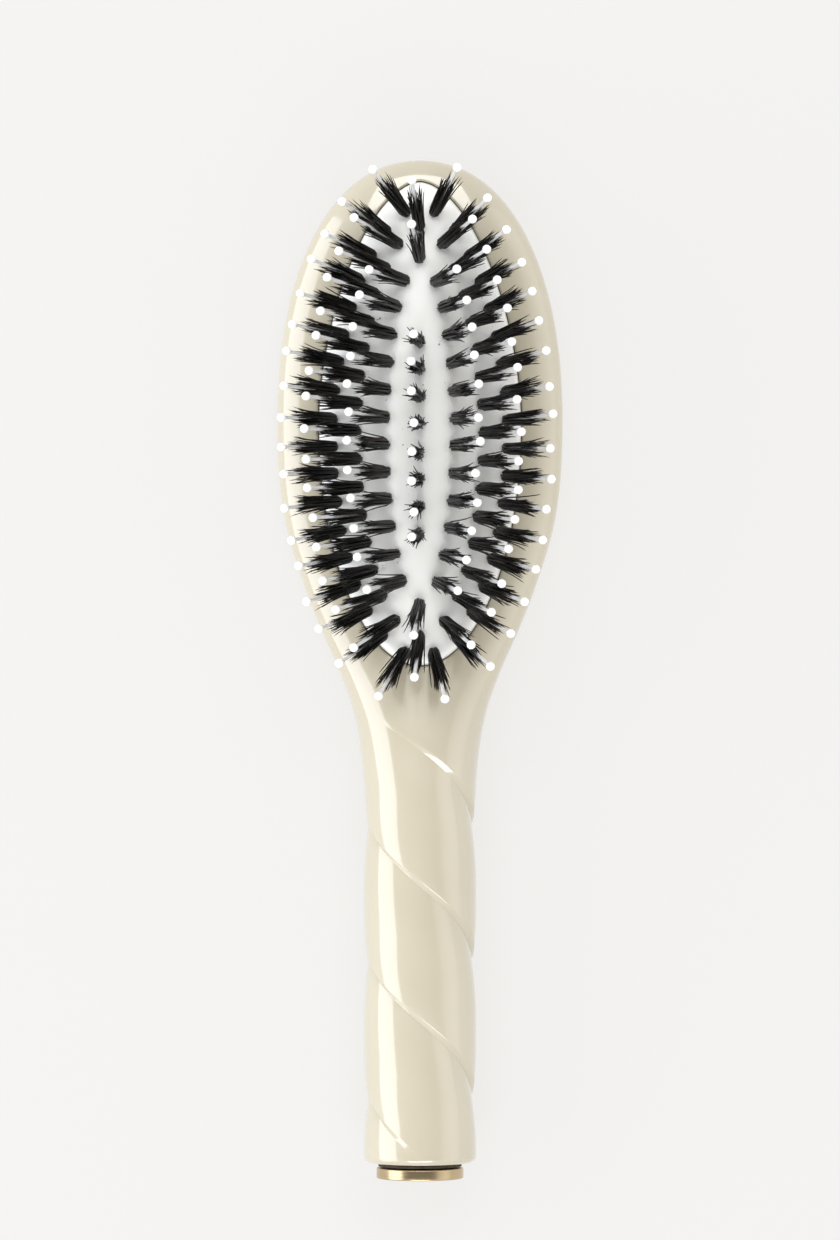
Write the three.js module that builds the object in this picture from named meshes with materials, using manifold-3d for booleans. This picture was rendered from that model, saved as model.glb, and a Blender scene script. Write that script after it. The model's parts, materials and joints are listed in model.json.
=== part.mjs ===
// Vanity hairbrush with a pneumatic cushion, boar bristle tufts and ball-tipped nylon pins.
//
// Millimetres. +X is the width, +Y the long axis with the head at +Y, and +Z the bristle side up, so the
// brush lies on its back. The origin is the middle of the outer box in X and Y, at the surface it lies on.
// A "station" is a distance along the brush from the outer face of the end cap.

import * as THREE from 'three';
import { mergeVertices } from 'three/addons/utils/BufferGeometryUtils.js';
import Module from 'manifold-3d';

const wasm = await Module();
wasm.setup();

// ---------------------------------------------------------------- driving dimensions

const CLEARANCE = 0.3;            // kept between any two pieces that meet

// end cap and its fastening
const CAP_DIAMETER = 19.2;
const CAP_THICKNESS = 2.4;
const CAP_SOCKET_DEPTH = 1.3;
const CAP_EDGE_ROUND = 0.35;
const WASHER_DIAMETER = 18.4;
const WASHER_THICKNESS = 0.5;
const STUD_DIAMETER = 5;
const STUD_LENGTH = 14;
const INSERT_DIAMETER = 9;
const INSERT_LENGTH = 12;

// handle, neck and head
const HANDLE_LENGTH = 84;         // cap face to the start of the shoulder
const HANDLE_RADIUS = 12.45;
const HANDLE_END_ROUND = 1.4;
const SHOULDER_LENGTH = 83;       // start of the shoulder to the widest station
const CROWN_LENGTH = 58;          // widest station to the tip of the head
const HEAD_HALF_WIDTH = 31.65;
const HEAD_THICKNESS = 18;
const HEAD_BACK_FLAT = 0.5;       // how much is planed off the head's back to make it lie flat
const HEAD_THINNING_LENGTH = 43;  // the stretch over which the handle's thickness becomes the head's

// rope twist on the handle
const TWIST_PITCH = 60;           // length of one whole turn of a crease
const TWIST_STARTS = 2;
const TWIST_DEPTH = 1.1;
const TWIST_FIRST_NOTCH = 19.7;   // station where a crease crosses the handle's side
const TWIST_PLAIN_END = 0.5;      // plain stretch at the handle's end
const TWIST_FADE_IN = 10;         // the stretch over which the creases deepen from there
const TWIST_FADE_OUT = 20;        // the stretch of the shoulder over which they run out

// cushion and its recess
const PAD_BACKSET = 0.4;          // the pad's middle lies this far behind the head's widest station
const PAD_HALF_WIDTH = 22.3;
const PAD_HALF_LENGTH = 53.3;
const PAD_RISE = 8.5;             // crown above the rim
const PAD_THICKNESS = 1.6;
const PAD_SKIRT = 4.2;            // how far the pad's edge reaches down the recess wall
const PAD_SKIRT_THICKNESS = 1.1;
const BEAD_WIDTH = 1.2;
const BEAD_HEIGHT = 1.2;
const CHAMBER_FLOOR = 7;          // height of the recess floor
const VENT_DIAMETER = 1.2;
const VENT_PLACE = [-8.6, -29.4]; // from the pad's middle

// tufts and pins
const TUFT_LENGTH = 15.5;
const TUFT_ROOT_HALF = 1.3;       // half the width of a tuft at the pad
const TUFT_TIP_HALF = 1.7;        // and at its open tip
const PIN_LENGTH = 19;
const PIN_HALF = 0.45;            // half the width of a pin's shaft
const PIN_BALL_RADIUS = 1;
const RING_CENTRE = -1.7;         // the rings' common middle, along the brush from the pad's middle
const CENTRE_ROW = { from: -24.3, to: 17.5, tufts: 8, splay: 26 };
const RINGS = [                   // splay is the lean outwards from upright, in degrees
  { name: 'inner', halfWidth: 7.3, halfLength: 37.6, tufts: 26, tuftsAtEnd: 5, splay: 23 },
  { name: 'middle', halfWidth: 13.5, halfLength: 44.6, tufts: 32, tuftsAtEnd: 7, splay: 33 },
  { name: 'outer', halfWidth: 18.8, halfLength: 48.9, tufts: 36, tuftsAtEnd: 8, splay: 40 },
];
const WIRE_THICKNESS = 0.5;       // of the drawing wire behind a row of tufts
const STRIP_THICKNESS = 0.8;      // of the carrier strip behind a row of pins

// facets
const AROUND_BODY = 26;
const AROUND_PAD = 24;
const PAD_RINGS = 4;
const AROUND_ROUND_PARTS = 18;

// ---------------------------------------------------------------- stations that follow from them

const HANDLE_END = CAP_THICKNESS + WASHER_THICKNESS + 2 * CLEARANCE;
const WIDEST = HANDLE_LENGTH + SHOULDER_LENGTH;
const LENGTH = WIDEST + CROWN_LENGTH;
const PAD_STATION = WIDEST - PAD_BACKSET;
const TWIST_START = HANDLE_END + TWIST_PLAIN_END;
const TWIST_END = HANDLE_LENGTH + TWIST_FADE_OUT;
const toY = (station) => station - LENGTH / 2;

// ---------------------------------------------------------------- small helpers

const { clamp, lerp, smoothstep } = THREE.MathUtils;
const point = (x, y, z) => new THREE.Vector3(x, y, z);

/** Height of a superellipse of unit half-axes at a fraction of its half-width. */
function superellipse(fraction, power) {
  return Math.pow(Math.max(0, 1 - Math.pow(Math.abs(fraction), power)), 1 / power);
}

/** Smooth curve through [place, value] points, level at both ends. */
function smoothThrough(points, place) {
  const at = clamp(place, points[0][0], points[points.length - 1][0]);
  let k = 0;
  while (k < points.length - 2 && points[k + 1][0] <= at) k += 1;
  const slopeAt = (i) => (i <= 0 || i >= points.length - 1
    ? 0 : (points[i + 1][1] - points[i - 1][1]) / (points[i + 1][0] - points[i - 1][0]));
  const span = points[k + 1][0] - points[k][0];
  const t = (at - points[k][0]) / span;
  const t2 = t * t;
  const t3 = t2 * t;
  return points[k][1] * (2 * t3 - 3 * t2 + 1) + slopeAt(k) * span * (t3 - 2 * t2 + t)
    + points[k + 1][1] * (3 * t2 - 2 * t3) + slopeAt(k + 1) * span * (t3 - t2);
}

/** Closed mesh from rings of points, each ring listed the same way round, with a point at each end. */
function loft(startPoint, rings, endPoint) {
  const count = rings[0].length;
  const vertices = [startPoint, ...rings.flat(), endPoint];
  const lastVertex = vertices.length - 1;
  const index = [];
  for (let i = 0; i < count; i += 1) {
    const next = (i + 1) % count;
    index.push(0, 1 + i, 1 + next);
    for (let ring = 0; ring < rings.length - 1; ring += 1) {
      const low = 1 + ring * count;
      const high = low + count;
      index.push(low + i, high + i, low + next, low + next, high + i, high + next);
    }
    const top = 1 + (rings.length - 1) * count;
    index.push(top + i, lastVertex, top + next);
  }
  const geometry = new THREE.BufferGeometry().setFromPoints(vertices);
  geometry.setIndex(index);
  return geometry;
}

/** manifold-3d solid from a closed geometry, turned the right way out. */
function solidOf(geometry) {
  const bare = geometry.clone();
  bare.deleteAttribute('normal');
  bare.deleteAttribute('uv');
  const merged = mergeVertices(bare, 1e-4);
  const triVerts = new Uint32Array(merged.index.array);
  const vertProperties = new Float32Array(merged.attributes.position.array);
  const solid = new wasm.Manifold(new wasm.Mesh({ numProp: 3, vertProperties, triVerts }));
  if (solid.volume() > 0) return solid;
  for (let i = 0; i < triVerts.length; i += 3) {
    [triVerts[i], triVerts[i + 1]] = [triVerts[i + 1], triVerts[i]];
  }
  return new wasm.Manifold(new wasm.Mesh({ numProp: 3, vertProperties, triVerts }));
}

/** Geometry of a manifold-3d solid. */
function geometryOf(solid) {
  const mesh = solid.getMesh();
  const geometry = new THREE.BufferGeometry();
  geometry.setAttribute('position', new THREE.Float32BufferAttribute(mesh.vertProperties, 3));
  geometry.setIndex(Array.from(mesh.triVerts));
  geometry.computeVertexNormals();
  return geometry;
}

/** Solid turned about the brush's long axis from [radius, station] points. */
function turned(profile) {
  const points = profile.map(([radius, station]) => new THREE.Vector2(radius, toY(station)));
  const solid = solidOf(new THREE.LatheGeometry(points, AROUND_ROUND_PARTS));
  return solid.translate([0, 0, HANDLE_RADIUS]);
}

// ---------------------------------------------------------------- shape of the head and handle

/** Half-width fractions along the shoulder, from the handle's (0) to the head's (1). */
const SHOULDER = [[0, 0], [0.13, 0.04], [0.24, 0.135], [0.34, 0.29], [0.45, 0.5], [0.56, 0.685],
  [0.71, 0.885], [0.84, 0.972], [1, 1]];
const CROWN_PLAN_POWER = 2.2;
const CROWN_SIDE_POWER = 4;
const HEAD_SECTION_POWER = 2.5;
const HANDLE_SECTION_POWER = 2;

const crownFraction = (station) => clamp((station - WIDEST) / CROWN_LENGTH, 0, 1);
const shoulderFraction = (station) => clamp((station - HANDLE_LENGTH) / SHOULDER_LENGTH, 0, 1);
const headBlend = (station) => smoothstep(station, HANDLE_LENGTH, HANDLE_LENGTH + HEAD_THINNING_LENGTH);

/** Half-width and half-thickness of the section at a station, its middle height and its roundness. */
function sectionAt(station) {
  const thickness = lerp(HANDLE_RADIUS, HEAD_THICKNESS / 2, headBlend(station));
  const crown = crownFraction(station);
  const shoulder = smoothThrough(SHOULDER, shoulderFraction(station));
  const width = lerp(HANDLE_RADIUS, HEAD_HALF_WIDTH, shoulder);
  return {
    halfWidth: width * superellipse(crown, CROWN_PLAN_POWER),
    halfThickness: thickness * superellipse(crown, CROWN_SIDE_POWER),
    height: thickness,
    power: lerp(HANDLE_SECTION_POWER, HEAD_SECTION_POWER, headBlend(station)),
    flat: HEAD_BACK_FLAT * headBlend(station),
  };
}

/** How far the rope twist cuts in at a station and an angle round the handle from its right side. */
function twistCut(station, angle) {
  const fade = smoothstep(station, TWIST_START, TWIST_START + TWIST_FADE_IN)
    * (1 - smoothstep(station, HANDLE_LENGTH, TWIST_END));
  const creaseAngle = (2 * Math.PI * (station - TWIST_FIRST_NOTCH)) / TWIST_PITCH;
  const lobe = Math.abs(Math.sin((TWIST_STARTS / 2) * (angle - creaseAngle)));
  return TWIST_DEPTH * fade * (1 - lobe);
}

/** Ring of surface points at a station, pulled in by an inset at the handle's rounded end. */
function bodyRing(station, inset = 0) {
  const section = sectionAt(station);
  const ring = [];
  for (let i = 0; i < AROUND_BODY; i += 1) {
    const angle = (2 * Math.PI * i) / AROUND_BODY;
    const across = Math.cos(angle);
    const up = Math.sin(angle);
    const reach = Math.pow(Math.abs(across) ** section.power + Math.abs(up) ** section.power, -1 / section.power);
    const cut = twistCut(station, angle) + inset;
    const half = section.halfThickness + (up < 0 ? section.flat : 0);
    const x = (section.halfWidth * reach - cut) * across;
    const z = section.height + (half * reach - cut) * up;
    ring.push(point(x, toY(station), Math.max(0, z)));
  }
  return ring;
}

/** Height of the head's bristle side at a place on it. */
function faceHeight(x, station) {
  const section = sectionAt(station);
  return section.height + section.halfThickness * superellipse(x / section.halfWidth, section.power);
}

// ---------------------------------------------------------------- shape of the cushion

const PAD_TIP_POWER = 1.75;       // the pad's tip end is a little pointed, and its neck end is an ellipse
const PAD_NECK_POWER = 2;

/** Point of an oval of the pad's kind at an angle from its right side. */
function ovalPoint(halfWidth, halfLength, angle) {
  const across = Math.cos(angle);
  const along = Math.sin(angle);
  const power = along > 0 ? PAD_TIP_POWER : PAD_NECK_POWER;
  const bow = (value) => Math.sign(value) * Math.abs(value) ** (2 / power);
  return new THREE.Vector2(halfWidth * bow(across), halfLength * bow(along));
}

/** Direction straight out of such an oval at a place on it. */
function ovalOut(halfWidth, halfLength, place) {
  const power = place.y > 0 ? PAD_TIP_POWER : PAD_NECK_POWER;
  const slope = (value, half) => (Math.sign(value) * Math.abs(value / half) ** (power - 1)) / half;
  return new THREE.Vector2(slope(place.x, halfWidth), slope(place.y, halfLength)).normalize();
}

/** Point of the pad's outline at an angle, grown outwards by a margin. */
const padOutline = (angle, margin = 0) => ovalPoint(PAD_HALF_WIDTH + margin, PAD_HALF_LENGTH + margin, angle);

/** How far out a place on the pad is, from 0 at its middle to 1 at its edge. */
function padReach(x, along) {
  const power = along > 0 ? PAD_TIP_POWER : PAD_NECK_POWER;
  return (Math.abs(x / PAD_HALF_WIDTH) ** power + Math.abs(along / PAD_HALF_LENGTH) ** power) ** (1 / power);
}

const rimHeight = (x, along) => faceHeight(x, PAD_STATION + along);
const PAD_CROWN = rimHeight(PAD_HALF_WIDTH, 0) + PAD_RISE;
const BEAD_FOOT = rimHeight(PAD_HALF_WIDTH, 0) - PAD_SKIRT;
const BEAD_TOP = BEAD_FOOT + BEAD_HEIGHT;

/** Height of the pad's outer surface at a place on it. */
function padHeight(x, along) {
  const reach = Math.max(padReach(x, along), 1e-6);
  const edge = rimHeight(x / reach, along / reach);
  return lerp(PAD_CROWN, edge, Math.min(1, reach * reach));
}

const padPoint = (x, along) => point(x, toY(PAD_STATION + along), padHeight(x, along));

/** Outward direction of the pad's surface at a place on it. */
function padNormal(x, along) {
  const step = 0.2; // small beside the pad's curvature
  const alongX = padPoint(x + step, along).sub(padPoint(x - step, along));
  const alongY = padPoint(x, along + step).sub(padPoint(x, along - step));
  return alongX.cross(alongY).normalize();
}

const padAngles = Array.from({ length: AROUND_PAD }, (_, i) => (2 * Math.PI * i) / AROUND_PAD);

/** Flat prism over the pad's outline grown by a margin, between two heights. */
function padPrism(margin, low, high) {
  const ringAt = (height) => padAngles.map((angle) => {
    const place = padOutline(angle, margin);
    return point(place.x, toY(PAD_STATION + place.y), height);
  });
  const middle = (height) => point(0, toY(PAD_STATION), height);
  return solidOf(loft(middle(low), [ringAt(low), ringAt(high)], middle(high)));
}

// ---------------------------------------------------------------- rows of tufts and pins

/** Place and lean of one tuft: `x` and `along` from the pad's middle, `out` the way it leans. */
function tuftAt(x, along, out, splay) {
  const base = padPoint(x, along);
  const lean = THREE.MathUtils.degToRad(splay);
  const axis = point(out.x * Math.sin(lean), out.y * Math.sin(lean), Math.cos(lean));
  return { x, along, base, axis: axis.normalize(), normal: padNormal(x, along) };
}

/** Tufts evenly spaced round an oval ring, from the middle of its tip end, clockwise from above. */
function ringTufts(ring) {
  const steps = 720; // fine enough to space tufts by arc length
  const placeAt = (k) => ovalPoint(ring.halfWidth, ring.halfLength, Math.PI / 2 - (2 * Math.PI * k) / steps);
  const lengths = [0];
  for (let k = 1; k <= steps; k += 1) lengths.push(lengths[k - 1] + placeAt(k).distanceTo(placeAt(k - 1)));
  const tufts = [];
  for (let i = 0; i < ring.tufts; i += 1) {
    const wanted = (lengths[steps] * (i + 0.5 * ((ring.tuftsAtEnd + 1) % 2))) / ring.tufts;
    const place = placeAt(lengths.findIndex((length) => length >= wanted));
    const out = ovalOut(ring.halfWidth, ring.halfLength, place);
    tufts.push(tuftAt(place.x, place.y + RING_CENTRE, out, ring.splay));
  }
  return tufts;
}

/** Row name to its tufts: the centre row, and the tip, right, neck and left stretch of each ring. */
function makeRows() {
  const rows = {};
  rows.centre = Array.from({ length: CENTRE_ROW.tufts }, (_, i) => {
    const along = lerp(CENTRE_ROW.from, CENTRE_ROW.to, i / (CENTRE_ROW.tufts - 1));
    const lean = { x: 0, y: (along - (CENTRE_ROW.from + CENTRE_ROW.to) / 2) / (2 * PAD_HALF_LENGTH) };
    return tuftAt(0, along, lean, CENTRE_ROW.splay);
  });
  RINGS.forEach((ring) => {
    const tufts = ringTufts(ring);
    const side = ring.tufts / 2 - ring.tuftsAtEnd;
    const counts = { tip: ring.tuftsAtEnd, right: side, neck: ring.tuftsAtEnd, left: side };
    let at = -Math.floor(ring.tuftsAtEnd / 2);
    Object.entries(counts).forEach(([stretch, count]) => {
      rows[`${ring.name}_${stretch}`] = Array.from({ length: count }, (_, i) => (
        tufts[(at + i + ring.tufts) % ring.tufts]));
      at += count;
    });
  });
  Object.values(rows).forEach((tufts) => tufts.forEach((tuft, i) => {
    const before = tufts[Math.max(0, i - 1)].base;
    const after = tufts[Math.min(tufts.length - 1, i + 1)].base;
    tuft.run = after.clone().sub(before).normalize();
  }));
  return rows;
}

/** Four corners of a square across a tuft's axis, at a distance out from the pad and a half-side. */
function squareAt(tuft, distance, half) {
  const first = tuft.run.clone().addScaledVector(tuft.axis, -tuft.run.dot(tuft.axis)).normalize();
  const second = tuft.axis.clone().cross(first);
  const centre = tuft.base.clone().addScaledVector(tuft.axis, distance);
  const corner = (a, b) => centre.clone().addScaledVector(first, a * half).addScaledVector(second, b * half);
  return [corner(1, 1), corner(-1, 1), corner(-1, -1), corner(1, -1)];
}

/** Square prism along a tuft's axis, for cutting its hole. */
function squarePeg(tuft, from, to, half) {
  const centreAt = (distance) => tuft.base.clone().addScaledVector(tuft.axis, distance);
  return solidOf(loft(centreAt(from), [squareAt(tuft, from, half), squareAt(tuft, to, half)], centreAt(to)));
}

/**
 * One row of square posts on a thin strip, as one closed solid. The strip lies between two depths below
 * the pad's outer surface. `steps` are [distance, half-side] pairs up each post, a half-side of 0 being a
 * point. A `core` above 0 is the half-side of a hole that runs through each post and the strip.
 */
function postRow(tufts, stripTop, stripBottom, half, steps, core) {
  const vertices = [];
  const index = [];
  const put = (points) => points.map((vertex) => vertices.push(vertex) - 1);
  const quad = (a, b, c, d) => index.push(a, b, c, a, c, d);
  const sides = [0, 1, 2, 3].map((side) => [side, (side + 1) % 4]);
  const wall = (low, high) => sides.forEach(([i, j]) => quad(low[i], low[j], high[j], high[i]));
  const posts = tufts.map((tuft) => {
    const drop = tuft.axis.dot(tuft.normal);
    return {
      bottom: put(squareAt(tuft, -stripBottom / drop, half)),
      seat: put(squareAt(tuft, -stripTop / drop, half)),
      bottomDistance: -stripBottom / drop,
    };
  });
  posts.forEach((post, i) => {
    const tuft = tufts[i];
    let ring = post.seat;
    steps.filter(([, size]) => size > 0).forEach(([distance, size]) => {
      const next = put(squareAt(tuft, distance, size));
      wall(ring, next);
      ring = next;
    });
    const tip = steps[steps.length - 1];
    if (core > 0) {
      const low = put(squareAt(tuft, post.bottomDistance, core));
      const high = put(squareAt(tuft, tip[0], core));
      wall(ring, high);
      wall(high, low);
      wall(low, post.bottom);
    } else {
      const [apex] = put([tuft.base.clone().addScaledVector(tuft.axis, tip[0])]);
      sides.forEach(([a, b]) => index.push(ring[a], ring[b], apex));
      quad(...[...post.bottom].reverse());
    }
    const [right, left] = [[3, 0], [1, 2]];
    const open = [i < posts.length - 1 ? right : null, i > 0 ? left : null];
    sides.filter((side) => !open.some((face) => face && face[0] === side[0]))
      .forEach(([a, b]) => quad(post.bottom[a], post.bottom[b], post.seat[b], post.seat[a]));
    if (i === posts.length - 1) return;
    const next = posts[i + 1];
    quad(post.seat[3], next.seat[2], next.seat[1], post.seat[0]);
    quad(post.bottom[3], post.bottom[0], next.bottom[1], next.bottom[2]);
    quad(next.bottom[1], post.bottom[0], post.seat[0], next.seat[1]);
    quad(post.bottom[3], next.bottom[2], next.seat[2], post.seat[3]);
  });
  const geometry = new THREE.BufferGeometry().setFromPoints(vertices);
  geometry.setIndex(index);
  return solidOf(geometry);
}

const WIRE_TOP = PAD_THICKNESS + 3 * CLEARANCE;
const STRIP_TOP = WIRE_TOP + WIRE_THICKNESS + 2 * CLEARANCE;
const HOLE_DEPTH = STRIP_TOP + TUFT_ROOT_HALF;

/** One row of tufts on its drawing wire, each tuft hollow in the middle for its pin. */
const tuftRow = (tufts) => postRow(
  tufts, WIRE_TOP, WIRE_TOP + WIRE_THICKNESS, TUFT_ROOT_HALF,
  [[TUFT_LENGTH, TUFT_TIP_HALF]], PIN_HALF + CLEARANCE,
);

/** One row of ball-tipped pins on its carrier strip. */
const pinRow = (tufts) => postRow(
  tufts, STRIP_TOP, STRIP_TOP + STRIP_THICKNESS, PIN_HALF,
  [[PIN_LENGTH - 2 * PIN_BALL_RADIUS, PIN_HALF], [PIN_LENGTH - PIN_BALL_RADIUS, PIN_BALL_RADIUS],
    [PIN_LENGTH, 0]], 0,
);

// ---------------------------------------------------------------- the pieces

/** Head and handle in one piece, with the cushion's recess and the insert's bore. */
function makeBody() {
  const rings = [];
  for (const turn of [0, 0.5, 1]) {
    const angle = (turn * Math.PI) / 2;
    const inset = HANDLE_END_ROUND * (1 - Math.sin(angle));
    rings.push(bodyRing(HANDLE_END + HANDLE_END_ROUND * (1 - Math.cos(angle)), inset));
  }
  const handleFrom = HANDLE_END + HANDLE_END_ROUND;
  const stretches = [[handleFrom, TWIST_END, 22], [TWIST_END, WIDEST, 8]];
  stretches.forEach(([from, to, count]) => {
    for (let i = 1; i <= count; i += 1) rings.push(bodyRing(lerp(from, to, i / count)));
  });
  for (const turn of [0.2, 0.4, 0.58, 0.73, 0.85, 0.94]) {
    rings.push(bodyRing(WIDEST + CROWN_LENGTH * Math.sin((turn * Math.PI) / 2)));
  }
  const outside = solidOf(loft(
    point(0, toY(HANDLE_END), HANDLE_RADIUS), rings, point(0, toY(LENGTH), HEAD_THICKNESS / 2)));
  const above = 2 * HANDLE_RADIUS + PAD_RISE;
  const recess = padPrism(CLEARANCE, CHAMBER_FLOOR, above)
    .add(padPrism(CLEARANCE + BEAD_WIDTH, BEAD_FOOT - CLEARANCE, BEAD_TOP + CLEARANCE));
  const boreRadius = INSERT_DIAMETER / 2 + CLEARANCE;
  const boreEnd = HANDLE_END + Math.max(STUD_LENGTH, INSERT_LENGTH) + 2 * CLEARANCE;
  const bore = turned([[0, HANDLE_END - 1], [boreRadius, HANDLE_END - 1], [boreRadius, boreEnd], [0, boreEnd]]);
  return outside.subtract(recess).subtract(bore);
}

/** Domed rubber pad with a skirt and bead round its edge, holes for its tufts and a vent. */
function makePad(rows) {
  const outerRing = (share) => padAngles.map((angle) => {
    const place = padOutline(angle).multiplyScalar(share);
    return padPoint(place.x, place.y);
  });
  const innerRing = (share) => padAngles.map((angle) => {
    const place = padOutline(angle, -PAD_SKIRT_THICKNESS).multiplyScalar(share);
    return padPoint(place.x, place.y).addScaledVector(padNormal(place.x, place.y), -PAD_THICKNESS);
  });
  const levelRing = (margin, height) => padAngles.map((angle) => {
    const place = padOutline(angle, margin);
    return point(place.x, toY(PAD_STATION + place.y), height);
  });
  const shares = Array.from({ length: PAD_RINGS }, (_, i) => Math.sin((Math.PI / 2) * ((i + 1) / PAD_RINGS)));
  const rings = [
    ...shares.map(outerRing),
    levelRing(0, BEAD_TOP), levelRing(BEAD_WIDTH, BEAD_TOP), levelRing(BEAD_WIDTH, BEAD_FOOT),
    levelRing(-PAD_SKIRT_THICKNESS, BEAD_FOOT),
    ...[...shares].reverse().map(innerRing),
  ];
  const crown = padPoint(0, 0);
  const underCrown = crown.clone().addScaledVector(padNormal(0, 0), -PAD_THICKNESS);
  const shell = solidOf(loft(crown, rings, underCrown));
  const holeHalf = TUFT_ROOT_HALF + 1.3 * CLEARANCE;
  const holes = Object.values(rows).flat().map((tuft) => squarePeg(tuft, -HOLE_DEPTH, holeHalf, holeHalf));
  const ventPlace = { ...tuftAt(...VENT_PLACE, { x: 0, y: 0 }, 0), run: point(0, 1, 0) };
  const vent = squarePeg(ventPlace, -HOLE_DEPTH, VENT_DIAMETER, VENT_DIAMETER / 2);
  return shell.subtract(wasm.Manifold.union([...holes, vent]));
}

/** Gold-coloured end disc with a blind socket for the stud. */
function makeCap() {
  const radius = CAP_DIAMETER / 2;
  const socket = STUD_DIAMETER / 2 + CLEARANCE;
  const floor = CAP_THICKNESS - CAP_SOCKET_DEPTH;
  return turned([[0, 0], [radius - CAP_EDGE_ROUND, 0], [radius, CAP_EDGE_ROUND],
    [radius, CAP_THICKNESS - CAP_EDGE_ROUND], [radius - CAP_EDGE_ROUND, CAP_THICKNESS],
    [socket, CAP_THICKNESS], [socket, floor], [0, floor]]);
}

/** Thin dark seating washer between the cap and the handle. */
function makeWasher() {
  const from = CAP_THICKNESS + CLEARANCE;
  const hole = STUD_DIAMETER / 2 + CLEARANCE;
  const radius = WASHER_DIAMETER / 2;
  const to = from + WASHER_THICKNESS;
  return turned([[hole, from], [radius, from], [radius, to], [hole, to], [hole, from]]);
}

/** Threaded stud that holds the cap, drawn plain. */
function makeStud() {
  const from = CAP_THICKNESS - CAP_SOCKET_DEPTH + CLEARANCE;
  const radius = STUD_DIAMETER / 2;
  const chamfer = 0.5;
  const to = from + STUD_LENGTH;
  return turned([[0, from], [radius, from], [radius, to - chamfer], [radius - chamfer, to], [0, to]]);
}

/** Threaded insert in the handle's bore, which the stud screws into. */
function makeInsert() {
  const from = HANDLE_END + CLEARANCE;
  const to = from + INSERT_LENGTH;
  const hole = STUD_DIAMETER / 2 + CLEARANCE;
  const radius = INSERT_DIAMETER / 2;
  const groove = 0.4;
  const third = INSERT_LENGTH / 3;
  return turned([[hole, from], [radius, from], [radius, from + third], [radius - groove, from + third],
    [radius - groove, to - third], [radius, to - third], [radius, to], [hole, to], [hole, from]]);
}

// ---------------------------------------------------------------- materials and assembly

const material = (color, roughness, metalness = 0) => new THREE.MeshStandardMaterial({ color, roughness, metalness });
const ACETATE = material('#ddd5c4', 0.12);
const RUBBER = material('#ebe8e0', 0.75);
const BOAR_BRISTLE = material('#1a1613', 0.55);
const NYLON = material('#f6f5f1', 0.35);
const GOLD = material('#c9ab6a', 0.2, 1);
const WASHER = material('#2b2622', 0.8);
const BRASS = material('#b08d4a', 0.35, 1);

const group = new THREE.Group();

function add(name, solid, itsMaterial) {
  const mesh = new THREE.Mesh(geometryOf(solid), itsMaterial);
  mesh.name = name;
  group.add(mesh);
}

const rows = makeRows();
add('head_and_handle', makeBody(), ACETATE);
add('cushion_pad', makePad(rows), RUBBER);
Object.entries(rows).forEach(([name, tufts]) => {
  add(`bristle_tufts_${name}`, tuftRow(tufts), BOAR_BRISTLE);
  add(`nylon_pins_${name}`, pinRow(tufts), NYLON);
});
add('end_cap', makeCap(), GOLD);
add('cap_washer', makeWasher(), WASHER);
add('cap_stud', makeStud(), BRASS);
add('handle_insert', makeInsert(), BRASS);

export default group;
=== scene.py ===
"""Visual model of a vanity hairbrush.

A cream handle with a rope twist runs into an oval head. The head holds a domed rubber cushion with rows of
dark bristle tufts, each with a ball-tipped pin in its middle, and a gold disc closes the handle's end.

Lengths are in millimetres until a mesh is made. A station is a distance along the brush from the cap's outer
face, and a place on the cushion is (x, along) from the cushion's middle.
"""

import json
import logging
import math
from dataclasses import dataclass, field
from enum import Enum
from typing import Any, Callable, ClassVar, Iterable, Iterator, Sequence

import bpy
import numpy as np
from mathutils import Matrix, Vector

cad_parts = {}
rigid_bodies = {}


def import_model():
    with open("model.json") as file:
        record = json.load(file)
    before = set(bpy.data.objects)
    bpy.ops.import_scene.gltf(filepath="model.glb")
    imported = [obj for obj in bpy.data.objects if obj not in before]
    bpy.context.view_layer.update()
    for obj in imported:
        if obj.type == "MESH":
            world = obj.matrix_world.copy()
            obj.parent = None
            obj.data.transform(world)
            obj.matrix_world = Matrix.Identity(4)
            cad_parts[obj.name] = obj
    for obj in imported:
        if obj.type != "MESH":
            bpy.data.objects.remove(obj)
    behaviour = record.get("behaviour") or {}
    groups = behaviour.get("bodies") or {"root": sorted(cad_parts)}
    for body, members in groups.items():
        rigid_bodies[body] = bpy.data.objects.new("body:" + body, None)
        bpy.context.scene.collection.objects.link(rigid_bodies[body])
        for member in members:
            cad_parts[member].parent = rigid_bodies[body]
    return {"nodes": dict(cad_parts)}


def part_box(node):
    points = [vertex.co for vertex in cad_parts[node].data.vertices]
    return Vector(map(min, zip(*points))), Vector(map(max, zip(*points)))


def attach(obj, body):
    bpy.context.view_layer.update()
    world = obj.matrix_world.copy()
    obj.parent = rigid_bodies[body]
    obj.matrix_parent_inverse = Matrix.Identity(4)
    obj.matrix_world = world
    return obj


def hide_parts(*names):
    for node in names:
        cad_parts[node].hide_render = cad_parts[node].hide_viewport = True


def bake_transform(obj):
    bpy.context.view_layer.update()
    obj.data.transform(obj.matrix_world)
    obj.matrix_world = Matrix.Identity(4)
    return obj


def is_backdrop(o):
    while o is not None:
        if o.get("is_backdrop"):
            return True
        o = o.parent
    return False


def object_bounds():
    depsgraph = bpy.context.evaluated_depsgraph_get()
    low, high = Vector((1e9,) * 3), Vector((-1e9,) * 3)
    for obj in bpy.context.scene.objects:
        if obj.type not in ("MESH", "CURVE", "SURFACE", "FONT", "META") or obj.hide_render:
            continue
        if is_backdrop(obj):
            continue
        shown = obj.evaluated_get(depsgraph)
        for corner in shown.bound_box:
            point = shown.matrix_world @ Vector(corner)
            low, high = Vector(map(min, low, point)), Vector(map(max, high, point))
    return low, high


LOG = logging.getLogger("hairbrush")
MM = 0.001
Colour = tuple[float, float, float]
Socket = bpy.types.NodeSocket
Thing = bpy.types.Object


# ---------------------------------------------------------------- numbers and curves


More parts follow.
